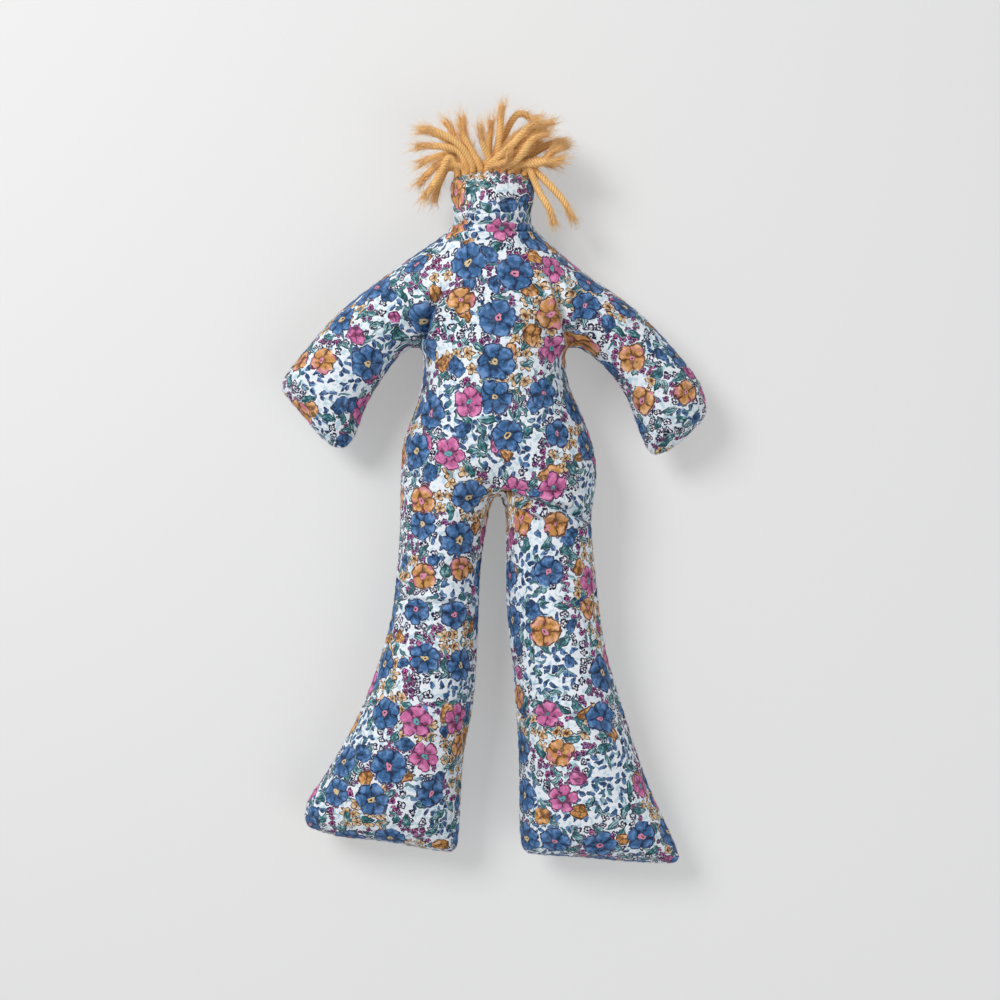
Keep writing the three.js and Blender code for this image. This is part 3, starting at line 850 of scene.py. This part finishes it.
class Nodes:
    """Adds shader nodes in short calls; plain numbers and colours fill the sockets themselves."""

    def __init__(self, tree):
        self.tree = tree

    def feed(self, socket, value):
        if isinstance(value, bpy.types.NodeSocket):
            self.tree.links.new(value, socket)
        elif value is not None:
            socket.default_value = value

    def add(self, kind, *values, named=None, **settings):
        node = self.tree.nodes.new(kind)
        for key, value in settings.items():
            setattr(node, key, value)
        for socket, value in zip(node.inputs, values):
            self.feed(socket, value)
        self.fill(node.inputs, named or {})
        return node

    def fill(self, sockets, values):
        for label, value in values.items():
            self.feed(sockets[label], value)

    def math(self, operation, *values, clamp=False):
        return self.add("ShaderNodeMath", *values, operation=operation, use_clamp=clamp).outputs[0]

    def plus(self, *values):
        return self.math("ADD", *values)

    def minus(self, *values):
        return self.math("SUBTRACT", *values)

    def times(self, *values):
        return self.math("MULTIPLY", *values)

    def vector(self, operation, *values):
        return self.add("ShaderNodeVectorMath", *values, operation=operation).outputs[0]

    def parts(self, vector):
        return self.add("ShaderNodeSeparateXYZ", vector).outputs

    def bump(self, height, strength, distance):
        named = {"Height": height, "Strength": strength, "Distance": distance}
        return self.add("ShaderNodeBump", named=named).outputs[0]

    def scaled(self, vector, factor):
        node = self.add("ShaderNodeVectorMath", vector, operation="SCALE", named={"Scale": factor})
        return node.outputs[0]

    def mix(self, factor, first, second):
        node = self.add("ShaderNodeMix", data_type="RGBA")
        self.feed(node.inputs[0], factor)
        self.feed(node.inputs[6], first)
        self.feed(node.inputs[7], second)
        return node.outputs[2]

    def band(self, value, low, high):
        """0 at low and 1 at high, smoothly; high may be the lower one."""
        node = self.add("ShaderNodeMapRange", value, low, high, 0.0, 1.0, interpolation_type="SMOOTHSTEP")
        return node.outputs[0]

    def within(self, value, low, high):
        """1 where a value lies between low and high, and 0 elsewhere."""
        return self.times(self.math("GREATER_THAN", value, low), self.math("LESS_THAN", value, high))

    def noise(self, vector, scale, detail=2.0, output="Fac"):
        node = self.add("ShaderNodeTexNoise", noise_dimensions="2D",
                        named={"Vector": vector, "Scale": scale, "Detail": detail})
        return node.outputs[output]

    def group(self, tree, **values):
        node = self.tree.nodes.new("ShaderNodeGroup")
        node.node_tree = tree
        self.fill(node.inputs, {key.replace("_", " ").title(): value for key, value in values.items()})
        return node.outputs


def node_group(name, inputs, outputs):
    """A new shader node group with named sockets: its nodes, what comes in and what goes out."""
    tree = bpy.data.node_groups.new(name, "ShaderNodeTree")
    for label, default in inputs.items():
        kind = "NodeSocketVector" if default is None else "NodeSocketFloat"
        socket = tree.interface.new_socket(name=label, in_out="INPUT", socket_type=kind)
        if default is not None:
            socket.default_value = default
    for label in outputs:
        tree.interface.new_socket(name=label, in_out="OUTPUT", socket_type="NodeSocketFloat")
    enter = tree.nodes.new("NodeGroupInput")
    leave = tree.nodes.new("NodeGroupOutput")
    return tree, Nodes(tree), enter.outputs, leave.inputs


SCATTER = {"Vector": None, "Cell": 20.0, "Spread": 0.6, "Seed": 0.0, "Low": 0.0, "High": 1.0,
           "Patch Size": 30.0, "Patch Low": 0.0, "Patch High": 1.0}


def scatter_cells(n, come):
    """Shared start of the printed motifs: each spot's offset from its motif's middle, the motif's chances,
    whether it is printed there, and how far the spot lies from the next motif's ground."""
    seed = come["Seed"]
    shift = n.add("ShaderNodeCombineXYZ", n.times(seed, 1.73), n.times(seed, 3.19)).outputs[0]
    inverse = n.math("DIVIDE", 1.0, come["Cell"])
    spot = n.vector("ADD", n.scaled(come["Vector"], inverse), shift)
    shared = {"Vector": spot, "Scale": 1.0, "Randomness": come["Spread"]}
    cells = n.add("ShaderNodeTexVoronoi", voronoi_dimensions="2D", feature="F1", named=shared)
    borders = n.add("ShaderNodeTexVoronoi", voronoi_dimensions="2D", feature="DISTANCE_TO_EDGE", named=shared)
    offset = n.scaled(n.vector("SUBTRACT", spot, cells.outputs["Position"]), come["Cell"])
    chances = n.add("ShaderNodeSeparateColor", cells.outputs["Color"]).outputs
    kept = n.within(chances[2], come["Low"], come["High"])
    place = n.scaled(n.vector("SUBTRACT", cells.outputs["Position"], shift), come["Cell"])
    patch = n.noise(n.scaled(place, n.math("DIVIDE", 1.0, come["Patch Size"])), 1.0, 0.0)
    shown = n.within(patch, come["Patch Low"], come["Patch High"])
    border = n.times(borders.outputs["Distance"], come["Cell"])
    return offset, chances, n.times(kept, shown), border


def print_masks(n, come, go, edge, border, kept, lines):
    """Fill, ink and bare rim of a motif from the distance to its drawn edge, cut short of the next motif."""
    edge = n.math("MAXIMUM", edge, n.minus(n.times(come["Halo"], 0.45), border))
    fill = n.times(n.band(edge, 0.05, -0.05), kept)
    rim = n.band(n.plus(edge, come["Line"]), -0.06, 0.06)
    broken = n.noise(come["Vector"], 0.42, 1.0)
    gaps = come["Gaps"]
    rim = n.times(rim, n.band(broken, n.minus(gaps, 0.04), n.plus(gaps, 0.04)))
    n.feed(go["Fill"], fill)
    n.feed(go["Ink"], n.times(n.math("MAXIMUM", rim, lines), fill))
    halo = n.band(edge, n.plus(come["Halo"], 0.1), n.minus(come["Halo"], 0.1))
    n.feed(go["Halo"], n.times(halo, kept))
    return fill


def bloom_group():
    """A scattered open flower: its petals, ink, bare rim, depth from the heart, heart and chances."""
    tree, n, come, go = node_group(
        "Printed Bloom",
        {**SCATTER, "Size": 7.0, "Variation": 0.25, "Petals": 6.0, "Notch": 0.3, "Roundness": 0.5,
         "Line": 0.4, "Rib": 0.25, "Gaps": 0.0, "Halo": 0.5, "Heart Size": 0.2},
        ["Fill", "Ink", "Halo", "Depth", "Heart", "Wave", "Second"],
    )
    offset, chances, kept, border = scatter_cells(n, come)
    parts = n.parts(offset)
    reach = n.add("ShaderNodeVectorMath", offset, operation="LENGTH").outputs["Value"]
    angle = n.plus(n.math("ARCTAN2", parts[1], parts[0]), n.times(chances[0], math.tau))
    beat = n.times(n.times(angle, come["Petals"]), 0.5)
    wave = n.math("ABSOLUTE", n.math("COSINE", beat))
    lobe = n.math("POWER", wave, come["Roundness"])
    size = n.times(come["Size"], n.minus(1.0, n.times(come["Variation"], chances[1])))
    trim = n.minus(1.0, n.times(come["Notch"], n.minus(1.0, lobe)))
    edge = n.minus(reach, n.times(size, trim))
    depth = n.math("DIVIDE", reach, size)
    between = n.band(n.times(wave, reach), n.times(come["Rib"], 2.6), 0.05)
    rib = n.times(between, n.band(depth, 0.2, 0.4))
    fill = print_masks(n, come, go, edge, border, kept, rib)
    ragged = n.times(n.math("SINE", n.times(angle, 9.0)), 0.02)
    heart = n.band(n.plus(depth, ragged), n.plus(come["Heart Size"], 0.02), come["Heart Size"])
    n.fill(go, {"Depth": depth, "Heart": n.times(heart, fill), "Wave": wave, "Second": chances[1]})
    return tree


def leaf_group():
    """A scattered leaf or bud: pointed where Fullness is 1 and oval where it is a half."""
    tree, n, come, go = node_group(
        "Printed Leaf",
        {**SCATTER, "Length": 3.5, "Width": 1.5, "Variation": 0.25, "Fullness": 1.0, "Bend": 0.1, "Line": 0.3,
         "Gaps": 0.0, "Halo": 0.4, "Veins": 3.0},
        ["Fill", "Ink", "Halo", "Along", "Second"],
    )
    offset, chances, kept, border = scatter_cells(n, come)
    turned = n.add("ShaderNodeVectorRotate", rotation_type="Z_AXIS", named={
        "Vector": offset, "Angle": n.times(chances[0], math.tau)}).outputs[0]
    parts = n.parts(turned)
    size = n.minus(1.0, n.times(come["Variation"], chances[1]))
    along = n.math("DIVIDE", parts[0], n.times(come["Length"], size))
    square = n.times(along, along)
    bow = n.times(n.times(come["Bend"], come["Length"]), square)
    side = n.minus(parts[1], bow)
    swell = n.math("POWER", n.math("SUBTRACT", 1.0, square, clamp=True), come["Fullness"])
    width = n.times(n.times(come["Width"], size), swell)
    away = n.math("ABSOLUTE", side)
    past = n.times(n.minus(n.math("ABSOLUTE", along), 1.0), come["Length"])
    edge = n.math("MAXIMUM", n.minus(away, width), past)
    across = n.math("DIVIDE", side, n.math("MAXIMUM", width, 0.01))
    slant = n.times(n.math("ABSOLUTE", across), 1.1)
    ribs = n.math("ABSOLUTE", n.math("SINE", n.plus(n.times(along, come["Veins"]), slant)))
    vein = n.times(n.band(ribs, 0.28, 0.1), n.band(along, 0.6, 0.1))
    middle = n.times(n.band(away, n.times(come["Line"], 0.7), 0.02), n.band(along, 0.75, 0.5))
    lines = n.math("MAXIMUM", middle, n.times(vein, 0.7))
    print_masks(n, come, go, edge, border, kept, lines)
    n.fill(go, {"Along": along, "Second": chances[1]})
    return tree


def shade(colour, factor, lift=0.0):
    """A lighter or darker version of a colour."""
    return tuple(min(1.0, channel * factor + lift) for channel in colour[:3]) + (1.0,)


# Materials

def new_material(name):
    """A new material, the helper for its nodes and the sockets of its surface."""
    material = bpy.data.materials.new(name)
    material.use_nodes = True
    return material, Nodes(material.node_tree), material.node_tree.nodes["Principled BSDF"].inputs


class ClothPrint:
    """The cotton's print as it builds up: its colour so far, and what the motifs share."""

    def __init__(self, n, flat, settings):
        self.n = n
        wobble = n.noise(flat, 0.33, 2.0, "Color")
        self.spot = n.vector("ADD", flat, n.scaled(n.vector("SUBTRACT", wobble, (0.5, 0.5, 0.5)), 2.5))
        self.wash = n.band(n.noise(flat, 0.45, 3.0), 0.3, 0.7)
        self.broad = n.noise(flat, 0.16, 1.0)
        self.bloom = bloom_group()
        self.leaf = leaf_group()
        self.bloom_size = settings.bloom_size / MM
        self.blue, self.pink, self.amber, self.green, self.ink = (
            tuple(getattr(settings, key)) for key in ("blue", "pink", "amber", "leaf", "ink"))
        self.pale = {
            self.blue: shade(self.blue, 1.5, 0.08), self.pink: shade(self.pink, 1.12, 0.11),
            self.amber: shade(self.amber, 1.1, 0.2), self.green: shade(self.green, 1.2, 0.3)}
        self.bare = n.mix(n.band(self.wash, 0.5, 1.0), tuple(settings.ground), FAINT_BLUE)
        self.colour = self.bare

    def motif(self, tree, **values):
        return self.n.group(tree, vector=self.spot, **values)

    def lay(self, motif, colour, ink, strength=1.0, rim=False):
        """Prints a motif over what is already there, and its ink over both; a bare rim may show round it."""
        n = self.n
        under = n.mix(motif["Halo"], self.colour, self.bare) if rim else self.colour
        painted = n.mix(motif["Fill"], under, colour)
        self.colour = n.mix(n.times(motif["Ink"], strength), painted, ink)

    def washed(self, tone, base, dark):
        """Three washes of one colour: deep at a tone of 0 and pale at 1."""
        n = self.n
        deep = n.mix(n.band(tone, 0.05, 0.45), shade(base, dark), base)
        return n.mix(n.band(tone, 0.5, 0.88), deep, self.pale[base])

    def blossoms(self):
        """Tiny drawn blossoms, sprigs and stars, each kind in patches of its own."""
        n = self.n
        shared = {"notch": 0.5, "halo": 0.1}
        tiny = self.motif(self.bloom, cell=3.8, spread=0.5, seed=3.0, size=2.05, petals=4.0, line=0.72,
                          heart_size=0.26, patch_low=0.486, patch_high=0.598, variation=0.2, rib=0.28,
                          **shared)
        sprig = self.motif(self.bloom, cell=2.9, spread=0.6, seed=5.0, size=1.8, petals=5.0, line=0.52,
                           heart_size=0.36, patch_low=0.395, patch_high=0.49, rib=0.22, **shared)
        star = self.motif(self.bloom, cell=5.2, spread=0.4, seed=9.0, size=3.1, petals=5.0, roundness=1.0,
                          line=0.5, heart_size=0.2, patch_high=0.378, variation=0.15, rib=0.24, **shared)
        mauve = n.mix(n.band(sprig["Second"], 0.35, 0.6), MAUVE, VIOLET)
        straw = n.mix(n.band(star["Depth"], 0.15, 0.6), shade(self.amber, 0.6), STRAW)
        for motif, tint, line in ((tiny, WHITE, self.ink), (sprig, mauve, PLUM), (star, straw, BROWN)):
            self.lay(motif, tint, line)
            self.colour = n.mix(motif["Heart"], self.colour, line)

    def flecks(self):
        """Blue flecks, and thin blades of grass over them."""
        n = self.n
        chip = self.motif(self.leaf, cell=3.5, spread=0.8, seed=15.0, length=2.2, width=1.05, fullness=0.6,
                          line=0.24, veins=2.0, halo=0.15, patch_low=0.6, gaps=0.4)
        self.lay(chip, self.washed(self.wash, self.blue, 0.4), self.ink, 0.9)
        blade = self.motif(self.leaf, cell=4.9, spread=0.9, seed=31.0, length=3.0, width=0.62, fullness=1.0,
                           bend=0.3, line=0.14, veins=0.0, halo=0.1, high=0.5, variation=0.4)
        tint = n.mix(n.band(blade["Second"], 0.3, 0.7), shade(self.green, 0.8, 0.02), self.pale[self.green])
        self.lay(blade, tint, BOTTLE, 0.5)

    def leaves(self):
        n = self.n
        for seed, cell, length in ((13.0, 9.0, 4.6), (11.0, 8.0, 3.8)):
            spray = self.motif(self.leaf, cell=cell, spread=0.85, seed=seed, length=length, width=1.75,
                               high=0.42, bend=0.2, veins=6.0, line=0.48, halo=0.05, variation=0.35, gaps=0.4)
            tone = n.plus(n.times(spray["Along"], 0.3), n.times(self.wash, 0.7))
            tone = n.plus(tone, n.times(spray["Second"], 0.56))
            self.lay(spray, self.washed(tone, self.green, 0.35), BOTTLE, rim=True)

    def buds(self):
        """Closed buds, all in one scatter of which each colour takes its share."""
        n = self.n
        for low, high, length, base, line, strength in (
            (0.0, 0.34, 5.0, self.blue, self.ink, 0.6), (0.34, 0.56, 4.8, self.amber, BROWN, 0.95),
            (0.64, 0.76, 4.3, self.pink, PLUM, 0.9),
        ):
            bud = self.motif(self.leaf, cell=14.2, spread=0.7, seed=17.0, low=low, high=high, length=length,
                             width=3.7, fullness=0.52, bend=0.12, veins=4.5, line=0.62, variation=0.45,
                             gaps=0.38, halo=0.03)
            tone = n.plus(n.times(bud["Along"], 0.3), n.times(self.wash, 0.8))
            self.lay(bud, self.washed(tone, base, 0.36), line, strength, rim=True)

    def flowers(self):
        """Large flowers, all in one scatter so that none lies over another."""
        n = self.n
        for low, high, share, petals, notch, base, heart, line, strength in (
            (0.0, 0.25, 1.02, 6.0, 0.2, self.blue, TAN, self.ink, 0.9),
            (0.25, 0.5, 0.96, 5.0, 0.2, self.blue, ROSE, self.ink, 0.9),
            (0.5, 0.64, 0.88, 5.0, 0.42, self.pink, TEAL, PLUM, 0.95),
            (0.66, 0.85, 0.84, 4.0, 0.22, self.amber, ROSE, BROWN, 0.95),
        ):
            flower = self.motif(self.bloom, cell=18.2, spread=0.52, seed=24.0, low=low, high=high,
                                size=self.bloom_size * share, petals=petals, notch=notch, roundness=0.42,
                                line=0.62, rib=0.34, heart_size=0.19, halo=0.03, gaps=0.38, variation=0.24)
            depth = flower["Depth"]
            body = n.times(depth, n.band(flower["Wave"], -0.25, 0.75))
            tone = n.plus(n.times(body, 0.92), n.times(n.minus(self.wash, 0.55), 0.5))
            tint = self.washed(tone, base, 0.3)
            if base is self.amber:
                blush = n.times(n.band(self.broad, 0.52, 0.6), n.band(depth, 0.4, 0.9))
                tint = n.mix(n.times(blush, 0.7), tint, self.pink)
            tint = n.mix(flower["Heart"], tint, heart)
            ring = n.times(n.band(depth, 0.15, 0.18), n.band(self.wash, 0.35, 0.5))
            marks = n.times(n.math("MAXIMUM", n.band(depth, 0.09, 0.06), ring), flower["Heart"])
            self.lay(flower, n.mix(marks, tint, line), line, strength, rim=True)


def floral_cloth(settings):
    """Printed cotton: scattered flowers, buds, leaves and tiny drawn blossoms over a pale ground."""
    material, n, surface = new_material("floral_cloth")
    flat = n.scaled(n.add("ShaderNodeUVMap", uv_map="Pattern").outputs[0], PRINT_SQUARE)
    cloth = ClothPrint(n, flat, settings)
    for step in (cloth.blossoms, cloth.flecks, cloth.leaves, cloth.buds, cloth.flowers):
        step()

    pitch = 2 * math.pi * MM / settings.weave_pitch
    parts = n.parts(flat)
    warp = n.math("SINE", n.times(parts[0], pitch))
    weft = n.math("SINE", n.times(parts[1], pitch))
    weave = n.times(warp, weft)
    height = n.plus(n.times(weave, 0.35), n.times(n.noise(flat, 2.2, 3.0), 0.6))
    # Painted shade: the hollows between the woven threads are darkened a little
    colour = n.mix(n.times(n.band(weave, 0.2, -1.0), 0.08), cloth.colour, WEAVE_SHADE)
    colour = n.mix(n.times(n.band(cloth.broad, 0.55, 0.3), 0.05), colour, HANDLED)
    roughness = n.plus(n.times(weave, 0.04), 0.84)
    n.fill(surface, {
        "Base Color": colour, "Roughness": roughness, "Normal": n.bump(height, 0.35, 0.00012),
        "Specular IOR Level": 0.12, "Sheen Weight": 0.05, "Sheen Roughness": 0.5})
    return material


def thread_material():
    """Twisted white sewing thread."""
    material, n, surface = new_material("sewing_thread")
    parts = n.parts(n.add("ShaderNodeUVMap", uv_map="Along").outputs[0])
    twist = n.math("SINE", n.plus(n.times(parts[0], 2 * math.tau), n.times(parts[1], 14.0)))
    # Painted shade: the white thread is darkened in the grooves of its twist, where its bump dips
    colour = n.mix(n.band(twist, -0.6, 0.6), (0.52, 0.52, 0.60, 1), (0.80, 0.80, 0.86, 1))
    n.fill(surface, {"Base Color": colour, "Normal": n.bump(twist, 0.5, 0.0001), "Roughness": 0.7})
    return material


def yarn_material(settings):
    """Soft spun wool: fine fibres laid along each ply, with a downy sheen."""
    material, n, surface = new_material("wool_yarn")
    coords = n.add("ShaderNodeUVMap", uv_map="Along").outputs[0]
    parts = n.parts(coords)
    grain = n.add("ShaderNodeCombineXYZ", n.times(parts[0], 9.0), n.times(parts[1], 0.45))
    fibre = n.noise(grain.outputs[0], 2.4, 3.0)
    tone = n.noise(coords, 0.25, 2.0)
    base = settings.colour
    # Painted shade in the grooves between the plies and painted light on their ridges, from the first
    # coordinate
    colour = n.mix(n.band(parts[0], 0.8, 1.0), shade(base, 0.5), shade(base, 1.12, 0.05))
    colour = n.mix(n.times(n.band(fibre, 0.42, 0.7), 0.3), colour, shade(base, 1.1, 0.10))
    colour = n.mix(n.times(n.band(tone, 0.4, 0.7), 0.2), colour, shade(base, 1.05, 0.12))
    colour = n.mix(n.times(n.band(parts[1], 13.0, 2.0), 0.4), colour, YARN_ROOT)
    colour = n.mix(n.band(parts[0], 1.05, 1.15), colour, shade(base, 1.08, 0.10))
    n.fill(surface, {
        "Base Color": colour, "Roughness": 0.9, "Normal": n.bump(fibre, 0.5, 0.0002),
        "Specular IOR Level": 0.2, "Sheen Weight": 0.2, "Sheen Roughness": 0.6})
    return material


def seen_rays(n):
    """1 for rays that see, also in reflections or through clear things, and 0 for rays that light."""
    path = n.add("ShaderNodeLightPath").outputs
    other = n.math("MAXIMUM", path["Is Glossy Ray"], path["Is Transmission Ray"])
    return n.math("MAXIMUM", path["Is Camera Ray"], other)


def floor_material(colour):
    """A pale floor that looks the same in reflections and keeps the doll's shadow."""
    material, n, _ = new_material("floor")
    n.tree.nodes.clear()
    matt = n.add("ShaderNodeBsdfDiffuse", tuple(colour)).outputs[0]
    glow = n.add("ShaderNodeEmission", FLOOR_GLOW, 0.9).outputs[0]
    mixed = n.add("ShaderNodeMixShader", n.times(seen_rays(n), 0.35), matt, glow).outputs[0]
    n.add("ShaderNodeOutputMaterial", mixed)
    return material


class DOLL_OT_set_stage(bpy.types.Operator):
    """Sets the pale floor, the soft studio light and the camera above the doll."""
    bl_idname = "doll.set_stage"
    bl_label = "Set Stage"

    def execute(self, context):
        settings = context.scene.doll_stage
        scene = context.scene
        mesh = bpy.data.meshes.new("floor")
        corners = [(x * FLOOR_REACH, y * FLOOR_REACH, 0) for x, y in ((-1, -1), (1, -1), (1, 1), (-1, 1))]
        mesh.from_pydata(corners, [], [(0, 1, 2, 3)])
        mesh.materials.append(floor_material(settings.floor))
        floor = new_object("floor", mesh)
        floor.location.z = -FLOOR_DROP
        camera = bpy.data.cameras.new("camera")
        camera.sensor_fit = "HORIZONTAL"
        distance = settings.camera_height - MID_HEIGHT * MM
        camera.angle = 2 * math.atan(settings.view_width / 2 / distance)
        eye = new_object("camera", camera)
        eye.location = (*CAMERA_PLACE, settings.camera_height)
        eye.rotation_euler = (0, 0, math.radians(CAMERA_TURN))
        scene.camera = eye
        for name, place, spread, power in (
            ("key", (-0.6, 0.5, 0.85), 0.5, settings.key_power),
            ("fill", (0.6, -0.5, 0.9), 0.8, settings.key_power * 0.3),
        ):
            lamp = bpy.data.lights.new(name, "AREA")
            lamp.shape = "DISK"
            lamp.size = spread
            lamp.energy = power
            light = new_object(name, lamp)
            light.location = place
            light.rotation_euler = (Vector((0, -0.04, 0)) - Vector(place)).to_track_quat("-Z", "Y").to_euler()
        world = scene.world or bpy.data.worlds.new("world")
        scene.world = world
        world.use_nodes = True
        back = world.node_tree.nodes["Background"]
        back.inputs["Color"].default_value = SKY_COLOUR
        n = Nodes(world.node_tree)
        extra = n.times(seen_rays(n), SKY_SEEN - settings.sky)
        n.feed(back.inputs["Strength"], n.plus(extra, settings.sky))
        scene.view_settings.view_transform = "Standard"
        return {"FINISHED"}


class DOLL_PT_panel(bpy.types.Panel):
    """Lists the doll's sizes, colours and making steps."""
    bl_idname = "DOLL_PT_panel"
    bl_label = "Cloth Doll"
    bl_space_type = "VIEW_3D"
    bl_region_type = "UI"
    bl_category = "Doll"

    def draw(self, context):
        scene = context.scene
        for settings in (scene.doll_body, scene.doll_cloth, scene.doll_yarn, scene.doll_stage):
            box = self.layout.box()
            for key in settings.__annotations__:
                box.prop(settings, key)
        for step in STEPS:
            self.layout.operator(step.bl_idname)


STEPS = (DOLL_OT_set_stage, DOLL_OT_sew_body, DOLL_OT_stitch_seams, DOLL_OT_add_hair)
SETTINGS = {
    "doll_body": DollBodySettings,
    "doll_cloth": DollClothSettings,
    "doll_yarn": DollYarnSettings,
    "doll_stage": DollStageSettings,
}


def register():
    for group in (*SETTINGS.values(), *STEPS, DOLL_PT_panel):
        bpy.utils.register_class(group)
    for key, group in SETTINGS.items():
        setattr(bpy.types.Scene, key, PointerProperty(type=group))


def unregister():
    for key in SETTINGS:
        delattr(bpy.types.Scene, key)
    for group in (DOLL_PT_panel, *reversed(STEPS), *reversed(tuple(SETTINGS.values()))):
        bpy.utils.unregister_class(group)


def main():
    register()
    bpy.ops.doll.set_stage()
    bpy.ops.doll.sew_body()
    bpy.ops.doll.stitch_seams()
    bpy.ops.doll.add_hair()


if __name__ == "__main__":
    main()
